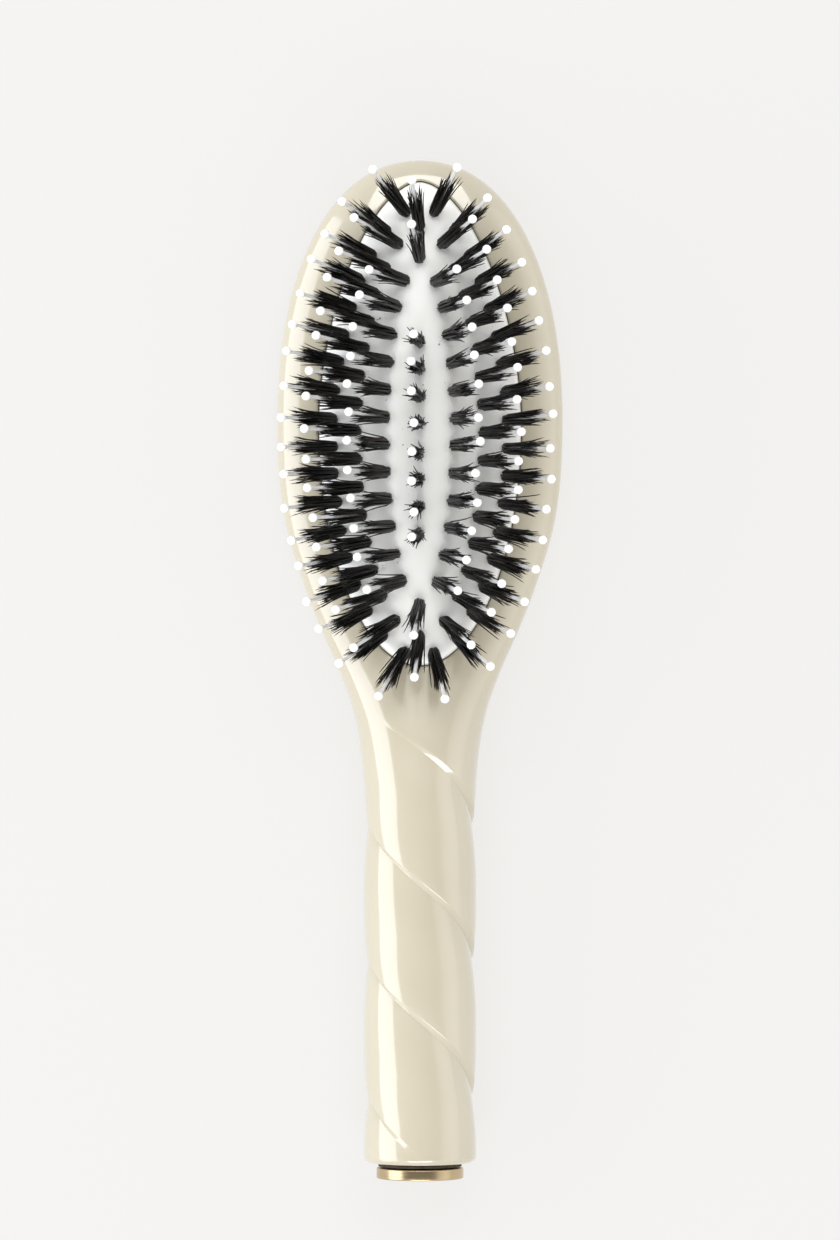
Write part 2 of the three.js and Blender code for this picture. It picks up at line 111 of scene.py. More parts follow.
def smoothstep(value: np.ndarray, low: float, high: float) -> np.ndarray:
    """Smooth rise from 0 at `low` to 1 at `high`."""
    t = np.clip((value - low) / (high - low), 0, 1)
    return t * t * (3 - 2 * t)


def mix(low: Any, high: Any, share: Any) -> Any:
    """Value a `share` of the way from `low` to `high`."""
    return low + (high - low) * share


def superellipse(fraction: np.ndarray, power: np.ndarray | float) -> np.ndarray:
    """Height of a superellipse of unit half-axes at a fraction of its half-width."""
    return np.maximum(0, 1 - np.abs(fraction) ** power) ** (1 / power)


def smooth_through(points: Sequence[tuple[float, float]], place: np.ndarray) -> np.ndarray:
    """Smooth curve through (place, value) points, level at both ends.

    Args:
        points: The (place, value) points, by rising place.
        place: Where values are wanted.

    Returns:
        The curve's values there.
    """
    places, values = np.array(points, float).T
    slopes = np.zeros(len(points))
    slopes[1:-1] = (values[2:] - values[:-2]) / (places[2:] - places[:-2])
    at = np.clip(place, places[0], places[-1])
    k = np.clip(np.searchsorted(places, at, side="right") - 1, 0, len(points) - 2)
    span = places[k + 1] - places[k]
    t = (at - places[k]) / span
    return (
        values[k] * (2 * t**3 - 3 * t**2 + 1)
        + slopes[k] * span * (t**3 - 2 * t**2 + t)
        + values[k + 1] * (3 * t**2 - 2 * t**3)
        + slopes[k + 1] * span * (t**3 - t**2)
    )


# ---------------------------------------------------------------- the brush's shapes


@dataclass(frozen=True)
class BodyShape:
    """Outline, sections and rope twist of the head and handle."""

    length: float = 225.0
    handle_end: float = 3.5
    end_round: float = 1.4
    handle_length: float = 84.0
    handle_radius: float = 12.45
    shoulder_length: float = 83.0
    crown_length: float = 58.0
    head_half_width: float = 31.65
    head_thickness: float = 18.0
    back_flat: float = 0.5
    thinning_length: float = 43.0
    crown_plan_power: float = 2.2
    crown_side_power: float = 4.0
    handle_power: float = 2.0
    head_power: float = 2.5
    bore_radius: float = 4.8
    bore_end: float = 18.1
    shoulder: tuple[tuple[float, float], ...] = (
        (0, 0), (0.13, 0.04), (0.24, 0.135), (0.34, 0.29), (0.45, 0.5),
        (0.56, 0.685), (0.71, 0.885), (0.84, 0.972), (1, 1),
    )  # fmt: skip

    @property
    def widest(self) -> float:
        """Station of the head's widest section."""
        return self.handle_length + self.shoulder_length

    def head_blend(self, station: np.ndarray) -> np.ndarray:
        """Change from the handle's section (0) to the head's (1)."""
        return smoothstep(station, self.handle_length, self.handle_length + self.thinning_length)

    def half_width(self, station: np.ndarray) -> np.ndarray:
        """Half the width of the section at a station.

        Args:
            station: Distance along the brush from the cap's outer face.

        Returns:
            The half-widths.
        """
        share = np.clip((station - self.handle_length) / self.shoulder_length, 0, 1)
        crown = np.clip((station - self.widest) / self.crown_length, 0, 1)
        width = mix(self.handle_radius, self.head_half_width, smooth_through(self.shoulder, share))
        return width * superellipse(crown, self.crown_plan_power)

    def middle_height(self, station: np.ndarray) -> np.ndarray:
        """Height of the section's middle above the surface that the brush lies on."""
        return mix(self.handle_radius, self.head_thickness / 2, self.head_blend(station))

    def half_thickness(self, station: np.ndarray) -> np.ndarray:
        """Half the thickness of the section at a station."""
        crown = np.clip((station - self.widest) / self.crown_length, 0, 1)
        return self.middle_height(station) * superellipse(crown, self.crown_side_power)

    def power(self, station: np.ndarray) -> np.ndarray:
        """Roundness of the section, from a circle's 2 upwards."""
        return mix(self.handle_power, self.head_power, self.head_blend(station))

    def face_height(self, x: np.ndarray, station: np.ndarray) -> np.ndarray:
        """Height of the bristle side at a place on it."""
        across = superellipse(x / np.maximum(self.half_width(station), 1e-6), self.power(station))
        return self.middle_height(station) + self.half_thickness(station) * across

    def to_y(self, station: np.ndarray) -> np.ndarray:
        """Distance along the brush from the middle of its length."""
        return station - self.length / 2

    def circle(self, radius: float, station: float, angles: np.ndarray) -> np.ndarray:
        """Points of a circle about the handle's axis.

        Args:
            radius: The circle's radius.
            station: Distance along the brush from the cap's outer face.
            angles: Angles from the brush's right side.

        Returns:
            One row (x, y, z) for each angle.
        """
        height = self.handle_radius + radius * np.sin(angles)
        y = np.full(len(angles), self.to_y(station))
        return np.column_stack([radius * np.cos(angles), y, height])

    def axis_point(self, station: float) -> np.ndarray:
        """Point on the handle's axis at a station."""
        return np.array([0, self.to_y(station), self.handle_radius])


@dataclass(frozen=True)
class RopeTwist:
    """Two creases that wind round the handle, each under the edge of the strand above it."""

    pitch: float = 60.0
    first_notch: float = 19.7
    depth: float = 1.4
    fade_in: tuple[float, float] = (4.0, 14.0)
    fade_out: tuple[float, float] = (84.0, 104.0)
    steep_share: float = 0.045  # of a strand's width, beside the crease under it
    shoulder_level: float = 0.68  # of the depth, where the steep side begins

    def turn(self, station: np.ndarray) -> np.ndarray:
        """Angle of the first crease round the handle at a station."""
        return 2 * math.pi * (np.minimum(station, self.fade_out[1]) - self.first_notch) / self.pitch

    def fade(self, station: np.ndarray) -> np.ndarray:
        """How deep the creases are at a station, from 0 to 1."""
        return smoothstep(station, *self.fade_in) * (1 - smoothstep(station, *self.fade_out))

    def cut(self, station: np.ndarray, angle: np.ndarray) -> np.ndarray:
        """How far the surface is cut in at a station and an angle from the handle's right side.

        Args:
            station: Distance along the brush from the cap's outer face.
            angle: Angles from the brush's right side.

        Returns:
            Depths under the plain section.
        """
        share = ((angle - self.turn(station)) / math.pi + 1e-9) % 1.0
        steep_from = 1 - self.steep_share
        swell = 1 - (1 - np.minimum(share / 0.5, 1)) ** 2
        past = np.clip((share - 0.5) / (steep_from - 0.5), 0, 1)
        broad = swell - (1 - self.shoulder_level) * past**4
        steep = self.shoulder_level * (1 - share) / self.steep_share
        return self.depth * self.fade(station) * (1 - np.where(share > steep_from, steep, broad))


@dataclass(frozen=True)
class CushionShape:
    """Oval outline and dome of the cushion in the head's recess."""

    body: BodyShape = field(default_factory=BodyShape)
    backset: float = 0.4
    half_width: float = 22.3
    half_length: float = 53.3
    rise: float = 8.5
    thickness: float = 1.6
    skirt: float = 4.2
    tip_power: float = 1.75
    neck_power: float = 2.0
    chamber_floor: float = 7.0
    clearance: float = 0.3

    @property
    def station(self) -> float:
        """Station of the cushion's middle."""
        return self.body.widest - self.backset

    def power(self, along: np.ndarray) -> np.ndarray:
        """Roundness of the oval: the tip end is a little pointed."""
        return np.where(np.asarray(along) > 0, self.tip_power, self.neck_power)

    def oval(self, half_width: float, half_length: float, angle: np.ndarray) -> np.ndarray:
        """Points of an oval of the cushion's kind at angles from its right side, as (x, along) rows.

        Args:
            half_width: Half the oval's width.
            half_length: Half the oval's length.
            angle: Angles from the brush's right side.

        Returns:
            One row for each angle.
        """
        across, along = np.cos(angle), np.sin(angle)
        bow = 2 / self.power(along)
        x = half_width * np.sign(across) * np.abs(across) ** bow
        return np.stack([x, half_length * np.sign(along) * np.abs(along) ** bow], axis=-1)

    def outline(self, angles: np.ndarray, margin: float = 0.0, share: float = 1.0) -> np.ndarray:
        """Points of the cushion's own oval, grown by a margin and then drawn in to a share of its size."""
        return self.oval((self.half_width + margin) * share, (self.half_length + margin) * share, angles)

    def oval_angle(self, margin: float, places: np.ndarray) -> np.ndarray:
        """Angles at which the outline grown by a margin passes in the directions of these places.

        Args:
            margin: How far the outline is grown.
            places: Rows of (x, along).

        Returns:
            One angle for each place.
        """
        half_width, half_length = self.half_width + margin, self.half_length + margin
        half_power = self.power(places[:, 1]) / 2
        across = np.sign(places[:, 0]) * np.abs(places[:, 0] / half_width) ** half_power
        along = np.sign(places[:, 1]) * np.abs(places[:, 1] / half_length) ** half_power
        return np.arctan2(along, across)

    def oval_out(self, half_width: float, half_length: float, places: np.ndarray) -> np.ndarray:
        """Directions straight out of such an oval at places on it.

        Args:
            half_width: Half the oval's width.
            half_length: Half the oval's length.
            places: Rows of (x, along).

        Returns:
            One row of unit length for each place.
        """
        power = self.power(places[:, 1])
        slopes = []
        for at, half in ((places[:, 0], half_width), (places[:, 1], half_length)):
            slopes.append(np.sign(at) * np.abs(at / half) ** (power - 1) / half)
        out = np.stack(slopes, axis=-1)
        return out / np.linalg.norm(out, axis=1, keepdims=True)

    def reach(self, x: np.ndarray, along: np.ndarray, margin: float = 0.0) -> np.ndarray:
        """How far out a place is, from 0 at the middle to 1 at the outline grown by a margin.

        Args:
            x: Distance to the right of the brush's middle line.
            along: Distance along from the cushion's middle.
            margin: How far the outline is grown.

        Returns:
            The shares, past 1 outside the outline.
        """
        power = self.power(along)
        across = np.abs(x / (self.half_width + margin)) ** power
        return (across + np.abs(along / (self.half_length + margin)) ** power) ** (1 / power)

    def rim_height(self, x: np.ndarray, along: np.ndarray) -> np.ndarray:
        """Height of the head's bristle side at a place."""
        return self.body.face_height(np.asarray(x, float), self.station + np.asarray(along, float))

    @property
    def crown(self) -> float:
        """Height of the dome's top."""
        return float(self.rim_height(self.half_width, 0.0)) + self.rise

    @property
    def foot(self) -> float:
        """Height of the skirt's lower edge."""
        return float(self.rim_height(self.half_width, 0.0)) - self.skirt

    def height(self, x: np.ndarray, along: np.ndarray) -> np.ndarray:
        """Height of the dome at a place.

        Args:
            x: Distance to the right of the brush's middle line.
            along: Distance along from the cushion's middle.

        Returns:
            Heights above the surface that the brush lies on.
        """
        reach = np.maximum(self.reach(x, along), 1e-6)
        edge = self.rim_height(x / reach, along / reach)
        return mix(self.crown, edge, np.minimum(1, reach**2))

    def points(self, places: np.ndarray, heights: np.ndarray) -> np.ndarray:
        """Points in the brush's frame over (x, along) places."""
        return np.column_stack([places[:, 0], self.body.to_y(self.station + places[:, 1]), heights])

    def middle(self, height: float) -> np.ndarray:
        """Point over the cushion's middle."""
        return self.points(np.zeros((1, 2)), np.array([height]))

    def along(self, y: np.ndarray) -> np.ndarray:
        """Distances from the cushion's middle of points in the brush's frame."""
        return y + self.body.length / 2 - self.station


# ---------------------------------------------------------------- rows of tufts


class Zone(Enum):
    """Body that a row of tufts rides on, by how far the row sinks when the cushion is pressed."""

    CROWN = "crown_rows"
    SHOULDER = "shoulder_rows"
    FLANK = "flank_rows"
    EDGE = "edge_rows"


@dataclass(frozen=True)
class TuftRing:
    """One oval ring of tufts, split into a tip, right, neck and left stretch."""

    name: str
    half_width: float
    half_length: float
    tufts: int
    tufts_at_end: int
    splay: float
    end_zone: Zone
    side_zone: Zone

    def stretches(self) -> list[tuple[str, int, Zone]]:
        """Name, number of tufts and zone of each stretch, clockwise from the tip.

        Returns:
            One tuple for each stretch.
        """
        side = self.tufts // 2 - self.tufts_at_end
        return [
            ("tip", self.tufts_at_end, self.end_zone),
            ("right", side, self.side_zone),
            ("neck", self.tufts_at_end, self.end_zone),
            ("left", side, self.side_zone),
        ]


@dataclass(frozen=True)
class Tuft:
    """Root of one tuft and the direction in which it stands."""

    base: Vector
    axis: Vector


@dataclass(frozen=True)
class TuftLayout:
    """Where the tufts stand on the cushion and how they lean."""

    cushion: CushionShape = field(default_factory=CushionShape)
    ring_centre: float = -1.7
    row_from: float = -24.3
    row_to: float = 17.5
    row_tufts: int = 8
    row_splay: float = 26.0
    set_aside: float = 5.0  # degrees by which use has set the tufts to the left
    steepest: float = 40.0  # degrees from upright that no tuft leans past
    steps: int = 720
    rings: tuple[TuftRing, ...] = (
        TuftRing("inner", 7.3, 37.6, 26, 5, 23.0, Zone.SHOULDER, Zone.CROWN),
        TuftRing("middle", 13.5, 44.6, 32, 7, 33.0, Zone.FLANK, Zone.SHOULDER),
        TuftRing("outer", 18.8, 48.9, 36, 8, 40.0, Zone.EDGE, Zone.EDGE),
    )

    def tuft(self, x: float, along: float, out: Sequence[float], splay: float) -> Tuft:
        """Tuft at a place, leaning `splay` degrees along `out`.

        Args:
            x: The root's distance to the right of the middle line.
            along: The root's distance along from the cushion's middle.
            out: Direction of the lean on the level.
            splay: Degrees from upright, before use set the tufts aside.

        Returns:
            The tuft.
        """
        place = np.array([[x, along]])
        base = self.cushion.points(place, self.cushion.height(place[:, 0], place[:, 1]))[0]
        lean = math.sin(math.radians(splay))
        side = out[0] * lean - math.sin(math.radians(self.set_aside))
        level = Vector((side, out[1] * lean))
        most = math.sin(math.radians(self.steepest))
        if level.length > most:
            level *= most / level.length
        axis = Vector((level.x, level.y, math.sqrt(1 - level.length_squared)))
        return Tuft(Vector(base), axis)

    def ring_tufts(self, ring: TuftRing) -> list[Tuft]:
        """Tufts evenly spaced round a ring, clockwise from the middle of its tip end.

        Args:
            ring: The ring.

        Returns:
            The tufts in order.
        """
        angles = math.pi / 2 - 2 * math.pi * np.arange(self.steps + 1) / self.steps
        places = self.cushion.oval(ring.half_width, ring.half_length, angles)
        lengths = np.concatenate([[0], np.cumsum(np.linalg.norm(np.diff(places, axis=0), axis=1))])
        first = 0.5 * ((ring.tufts_at_end + 1) % 2)
        wanted = lengths[-1] * (np.arange(ring.tufts) + first) / ring.tufts
        chosen = places[np.searchsorted(lengths, wanted)]
        outs = self.cushion.oval_out(ring.half_width, ring.half_length, chosen)
        return [
            self.tuft(x, along + self.ring_centre, out, ring.splay)
            for (x, along), out in zip(chosen, outs)
        ]

    def rows(self) -> dict[str, tuple[Zone, list[Tuft]]]:
        """Row name to its zone and its tufts.

        Returns:
            The centre row and four stretches of each ring.
        """
        middle = (self.row_from + self.row_to) / 2
        centre = []
        for along in np.linspace(self.row_from, self.row_to, self.row_tufts):
            lean = (0.0, (along - middle) / (2 * self.cushion.half_length))
            centre.append(self.tuft(0.0, along, lean, self.row_splay))
        rows = {"centre": (Zone.CROWN, centre)}
        for ring in self.rings:
            tufts = self.ring_tufts(ring)
            at = -(ring.tufts_at_end // 2)
            for stretch, count, zone in ring.stretches():
                stretch_tufts = [tufts[(at + i) % ring.tufts] for i in range(count)]
                rows[f"{ring.name}_{stretch}"] = (zone, stretch_tufts)
                at += count
        return rows

    def zones(self) -> dict[Zone, tuple[list[str], list[Tuft]]]:
        """Zone to the names of its rows and all their tufts.

        Returns:
            What each zone carries.
        """
        zones: dict[Zone, tuple[list[str], list[Tuft]]] = {zone: ([], []) for zone in Zone}
        for name, (zone, tufts) in self.rows().items():
            zones[zone][0].append(name)
            zones[zone][1].extend(tufts)
        return zones


# ---------------------------------------------------------------- mesh building


class MeshBuilder:
    """Collects points in millimetres and faces, and makes one closed mesh from them."""

    def __init__(self) -> None:
        """Starts with no points."""
        self._points: list[np.ndarray] = []
        self._faces: list[tuple[int, ...]] = []
        self._count = 0

    def add(self, points: np.ndarray) -> np.ndarray:
        """Adds points and numbers them.

        Args:
            points: One point, or rows of them.

        Returns:
            The points' numbers.
        """
        rows = np.atleast_2d(points)
        self._points.append(rows)
        self._count += len(rows)
        return np.arange(self._count - len(rows), self._count)

    def move(self, numbers: np.ndarray, points: np.ndarray) -> None:
        """Puts points that were added before in new places.

        Args:
            numbers: The points' numbers.
            points: Their new places, as rows.
        """
        together = np.concatenate(self._points)
        together[numbers] = points
        self._points = [together]

    def at(self, numbers: np.ndarray) -> np.ndarray:
        """Places of points by number."""
        return np.concatenate(self._points)[numbers]

    def faces(self, faces: Iterable[Sequence[int]]) -> None:
        """Adds faces by point number."""
        self._faces.extend(tuple(int(number) for number in face) for face in faces)

    def bridge(self, low: np.ndarray, high: np.ndarray) -> None:
        """Joins two closed rings; the faces turn outwards when `high` is to the left of `low`."""
        self.faces(np.column_stack([low, np.roll(low, -1), np.roll(high, -1), high]))

    def fan(self, ring: np.ndarray, middle: int) -> None:
        """Closes a ring with a fan to a point, turned as `bridge` turns."""
        self.faces([(a, b, middle) for a, b in zip(ring, np.roll(ring, -1))])

    def mesh(self, name: str) -> bpy.types.Mesh:
        """Makes the plain mesh, in metres.

        Args:
            name: The mesh's name.

        Returns:
            The mesh.
        """
        mesh = bpy.data.meshes.new(name)
        mesh.from_pydata(np.concatenate(self._points) * MM, [], self._faces)
        return mesh

    def build(self, name: str, material: bpy.types.Material) -> Thing:
        """Makes the smooth-shaded object, with its place in its mesh.

        Args:
            name: The object's name.
            material: The finish.

        Returns:
            The object.
        """
        mesh = self.mesh(name)
        mesh.validate()
        smooth(mesh)
        mesh.materials.append(material)
        return link(name, mesh)


def link(name: str, data: bpy.types.ID) -> Thing:
    """Makes an object of a mesh, lamp or lens and puts it in the scene.

    Args:
        name: The object's name.
        data: What the object shows.

    Returns:
        The object.
    """
    thing = bpy.data.objects.new(name, data)
    bpy.context.scene.collection.objects.link(thing)
    return thing


def smooth(mesh: bpy.types.Mesh) -> None:
    """Shades every face of a mesh smooth."""
    mesh.polygons.foreach_set("use_smooth", np.ones(len(mesh.polygons), bool))


def dress(thing: Thing, slot: "Slot", nodes: Iterable[str], body: str = "") -> None:
    """Hides the CAD nodes that a piece replaces and, if it is rigid, attaches it to its body.

    Args:
        thing: The piece.
        slot: The material slot. Not used.
        nodes: Names of the replaced nodes.
        body: The body that a rigid piece rides on.
    """
    if body:
        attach(thing, body)
    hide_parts(*nodes)


@dataclass(frozen=True)
class TurnedPiece:
    """Closed piece turned about the handle's axis.

    Its profile is a run of (radius, station) points. A solid piece's profile starts and ends on the axis. A
    hollow piece's profile goes once round its section.
    """

    name: str
    profile: Sequence[tuple[float, float]]
    hollow: bool = False
    around: int = 128
    sharp_angle: float = 40.0

    def build(self, body: BodyShape, material: bpy.types.Material) -> Thing:
        """Makes the piece.

        Args:
            body: Gives the axis.
            material: The finish.

        Returns:
            The piece.
        """
        builder = MeshBuilder()
        angles = 2 * math.pi * np.arange(self.around) / self.around
        off_axis = self.profile if self.hollow else self.profile[1:-1]
        rings = [builder.add(body.circle(radius, station, angles)) for radius, station in off_axis]
        following = rings[1:] + rings[:1] if self.hollow else rings[1:]
        for near, far in zip(rings, following):
            builder.bridge(far, near)
        if not self.hollow:
            for ring, end in ((rings[0], self.profile[0]), (rings[-1][::-1], self.profile[-1])):
                builder.fan(ring, builder.add(body.axis_point(end[1]))[0])
        thing = builder.build(self.name, material)
        thing.data.set_sharp_from_angle(angle=math.radians(self.sharp_angle))
        return thing


def round_corner(
    corner: tuple[float, float],
    start: tuple[float, float],
    end: tuple[float, float],
    steps: int = 5,
) -> list[tuple[float, float]]:
    """Points of a rounded corner from `start` to `end` that bows towards `corner`.

    Args:
        corner: The sharp corner that is rounded off.
        start: First point.
        end: Last point.
        steps: How many points there are.

    Returns:
        The points in order.
    """
    points = []
    for t in np.linspace(0, 1, steps):
        weights = ((1 - t) ** 2, 2 * t * (1 - t), t**2)
        points.append(tuple(sum(w * p[i] for w, p in zip(weights, (start, corner, end))) for i in (0, 1)))
    return points


# ---------------------------------------------------------------- finishes


class NodeGraph:
    """Adds nodes to a node tree and links or sets their inputs by name."""

    def __init__(self, tree: bpy.types.NodeTree) -> None:
        """Works on a node tree."""
        self.tree = tree

    def add(self, kind: str, inputs: dict[str | int, Any] | None = None, **settings: Any) -> bpy.types.Node:
        """Adds a node.

        Args:
            kind: The node's type.
            inputs: Socket name or number to a value, or to the output socket that feeds it.
            **settings: The node's own properties.

        Returns:
            The node.
        """
        node = self.tree.nodes.new(kind)
        for key, value in settings.items():
            setattr(node, key, value)
        for key, value in (inputs or {}).items():
            socket = node.inputs[key]
            if isinstance(value, Socket):
                self.tree.links.new(value, socket)
            else:
                socket.default_value = value
        return node

    def math(self, operation: str, first: Any, second: Any = 0.0, third: Any = 0.0) -> Socket:
        """Adds a Math node and returns its result."""
        inputs = {0: first, 1: second, 2: third}
        return self.add("ShaderNodeMath", inputs, operation=operation).outputs[0]

    def vector_math(self, operation: str, first: Any, second: Any) -> Socket:
        """Adds a Vector Math node and returns its vector."""
        return self.add("ShaderNodeVectorMath", {0: first, 1: second}, operation=operation).outputs[0]

    def noise(self, coordinates: Socket, scale: float, detail: float = 4.0) -> Socket:
        """Adds a noise texture and returns its value."""
        inputs = {"Vector": coordinates, "Scale": scale, "Detail": detail}
        return self.add("ShaderNodeTexNoise", inputs).outputs["Fac"]

    def ramp(self, value: Socket, *stops: tuple[float, Colour]) -> Socket:
        """Adds a colour ramp through (position, colour) stops and returns its colour.

        Args:
            value: What picks the colour.
            *stops: The stops by rising position.

        Returns:
            The colour socket.
        """
        node = self.add("ShaderNodeValToRGB", {"Fac": value})
        elements = node.color_ramp.elements
        while len(elements) < len(stops):
            elements.new(0.5)
        for element, (position, colour) in zip(elements, stops):
            element.position = position
            element.color = (*colour, 1)
        return node.outputs["Color"]

    def bump(self, height: Socket, strength: float, distance: float) -> Socket:
        """Adds a bump of a distance in metres and returns its normal."""
        inputs = {"Height": height, "Strength": strength, "Distance": distance}
        return self.add("ShaderNodeBump", inputs).outputs["Normal"]


def new_material(name: str) -> tuple[bpy.types.Material, NodeGraph]:
    """Makes an empty material and the graph that its nodes are added to.

    Args:
        name: The material's name.

    Returns:
        The material and its graph.
    """
    material = bpy.data.materials.new(name)
    material.use_nodes = True
    material.node_tree.nodes.clear()
    return material, NodeGraph(material.node_tree)


@dataclass(frozen=True)
class Finish:
    """A procedural surface: `draw` adds what varies, and `fixed` are the shader's own values."""

    name: str
    fixed: dict[str, Any]
    draw: Callable[[NodeGraph, Socket], dict[str, Socket]]

    def material(self) -> bpy.types.Material:
        """Makes the material.

        Returns:
            The material.
        """
        material, graph = new_material(self.name)
        coordinates = graph.add("ShaderNodeTexCoord").outputs["Object"]
        shader = graph.add("ShaderNodeBsdfPrincipled", {**self.fixed, **self.draw(graph, coordinates)})
        graph.add("ShaderNodeOutputMaterial", {"Surface": shader.outputs[0]})
        return material


def draw_acetate(graph: NodeGraph, place: Socket) -> dict[str, Socket]:
    """Cream acetate: faint pearly clouds and a polish that is a little softer in places.

    Args:
        graph: The material's graph.
        place: Object coordinates of the surface.

    Returns:
        Shader inputs that vary over the surface.
    """
    clouds = graph.noise(place, 38.0)
    colour = graph.ramp(clouds, (0.35, (0.540, 0.490, 0.368)), (0.65, (0.566, 0.516, 0.394)))
    polish = graph.math("MULTIPLY_ADD", graph.noise(place, 90.0), 0.06, 0.09)
    return {"Base Color": colour, "Roughness": polish, "Normal": graph.bump(clouds, 0.05, 0.0002)}


def draw_rubber(graph: NodeGraph, place: Socket) -> dict[str, Socket]:
    """Pale rubber: a soft mottle, a few dark specks of dust, and a fine moulded grain.

    Args:
        graph: The material's graph.
        place: Object coordinates of the surface.

    Returns:
        Shader inputs that vary over the surface.
    """
    mottle = graph.ramp(graph.noise(place, 160.0), (0.3, (0.90, 0.90, 0.865)), (0.7, (0.95, 0.95, 0.925)))
    specks = graph.ramp(graph.noise(place, 620.0, 2.0), (0.225, (0.22, 0.21, 0.19)), (0.27, (1, 1, 1)))
    blend = {"Factor": 1.0, 6: mottle, 7: specks}
    colour = graph.add("ShaderNodeMix", blend, data_type="RGBA", blend_type="MULTIPLY").outputs[2]
    grain = graph.noise(place, 3500.0, 2.0)
    return {"Base Color": colour, "Normal": graph.bump(grain, 0.12, 0.00005)}


def draw_bristle(graph: NodeGraph, place: Socket) -> dict[str, Socket]:
    """Boar bristle: near black, browner in some hairs.

    Args:
        graph: The material's graph.
        place: Object coordinates of the surface.

    Returns:
        Shader inputs that vary over the surface.
    """
    tone = graph.add("ShaderNodeAttribute", attribute_name="tone").outputs["Fac"]
    streak = graph.math("MULTIPLY", graph.noise(place, 900.0), 0.3)
    shade = graph.math("ADD", tone, streak)
    black, brown, light = (0.002, 0.002, 0.002), (0.006, 0.005, 0.0045), (0.02, 0.015, 0.011)
    colour = graph.ramp(shade, (0.3, black), (0.8, brown), (1.0, light))
    return {"Base Color": colour}


def draw_nylon(graph: NodeGraph, place: Socket) -> dict[str, Socket]:
    """White nylon: milky, with a faint change of tone along each pin."""
    colour = graph.ramp(graph.noise(place, 300.0), (0.3, (0.95, 0.95, 0.94)), (0.7, (0.985, 0.985, 0.98)))
    return {"Base Color": colour}


def draw_gold(graph: NodeGraph, place: Socket) -> dict[str, Socket]:
    """Light gold plate: turning lines round the disc and a little uneven polish.

    Args:
        graph: The material's graph.
        place: Object coordinates of the surface.

    Returns:
        Shader inputs that vary over the surface.
    """
    stretched = graph.vector_math("MULTIPLY", place, (60.0, 9000.0, 60.0))
    lines = graph.noise(stretched, 1.0, 2.0)
    colour = graph.ramp(lines, (0.3, (0.50, 0.385, 0.225)), (0.7, (0.62, 0.49, 0.31)))
    rough = graph.math("MULTIPLY_ADD", lines, 0.12, 0.16)
    return {"Base Color": colour, "Roughness": rough, "Normal": graph.bump(lines, 0.1, 0.00003)}


def draw_brass(graph: NodeGraph, place: Socket) -> dict[str, Socket]:
    """Plain brass with a dull, uneven tarnish.

    Args:
        graph: The material's graph.
        place: Object coordinates of the surface.

    Returns:
        Shader inputs that vary over the surface.
    """
    tarnish = graph.noise(place, 700.0)
    colour = graph.ramp(tarnish, (0.3, (0.50, 0.36, 0.13)), (0.7, (0.68, 0.52, 0.24)))
    return {"Base Color": colour, "Roughness": graph.math("MULTIPLY_ADD", tarnish, 0.3, 0.25)}


def draw_fibre(graph: NodeGraph, place: Socket) -> dict[str, Socket]:
    """Dark vulcanised fibre with a matted surface.

    Args:
        graph: The material's graph.
        place: Object coordinates of the surface.

    Returns:
        Shader inputs that vary over the surface.
    """
    fibres = graph.noise(place, 1500.0)
    colour = graph.ramp(fibres, (0.3, (0.030, 0.022, 0.014)), (0.7, (0.075, 0.058, 0.040)))
    return {"Base Color": colour, "Normal": graph.bump(fibres, 0.4, 0.0001)}


class Slot(Enum):
    """The record's material slots, each with its finish."""

    ACETATE = "acetate"
    RUBBER = "pad_rubber"
    BRISTLE = "boar_bristle"
    NYLON = "nylon"
    GOLD = "gold_plate"
    FIBRE = "fibre_washer"
    BRASS = "brass"


FINISHES = {
    Slot.ACETATE: Finish(
        "cream_acetate",
        {
            "IOR": 1.5,
            "Specular IOR Level": 0.8,
            "Coat Weight": 1.0,
            "Coat Roughness": 0.03,
            "Coat IOR": 1.6,
        },
        draw_acetate,
    ),
    Slot.RUBBER: Finish(
        "pale_rubber",
        {
            "Roughness": 0.42,
            "Subsurface Weight": 0.15,
            "Subsurface Radius": (1.0, 0.9, 0.8),
            "Subsurface Scale": 0.001,
            # Painted glow: a faint emission lights the pad from within, so it shows brighter between the
            # dark tufts than the lamps alone make it.
            "Emission Color": (1.0, 1.0, 0.97, 1.0),
            "Emission Strength": 0.09,
        },
        draw_rubber,
    ),
    Slot.BRISTLE: Finish("dark_bristle", {"Roughness": 0.38, "Specular IOR Level": 0.5}, draw_bristle),
    Slot.NYLON: Finish(
        "white_nylon",
        {
            "Roughness": 0.28,
            "Subsurface Weight": 0.4,
            "Subsurface Radius": (1.0, 1.0, 1.0),
            "Subsurface Scale": 0.001,
        },
        draw_nylon,
    ),
    Slot.GOLD: Finish("light_gold", {"Metallic": 1.0}, draw_gold),
    Slot.FIBRE: Finish("dark_fibre", {"Roughness": 0.85}, draw_fibre),
    Slot.BRASS: Finish("dull_brass", {"Metallic": 1.0}, draw_brass),
}


class Palette:
    """Makes each material once."""

    def __init__(self) -> None:
        """Starts with no material made."""
        self._made: dict[Slot, bpy.types.Material] = {}

    def __getitem__(self, slot: Slot) -> bpy.types.Material:
        """Material of a slot.

        Args:
            slot: The material slot.

        Returns:
            Its one material.
        """
        if slot not in self._made:
            self._made[slot] = FINISHES[slot].material()
        return self._made[slot]


# ---------------------------------------------------------------- head and handle


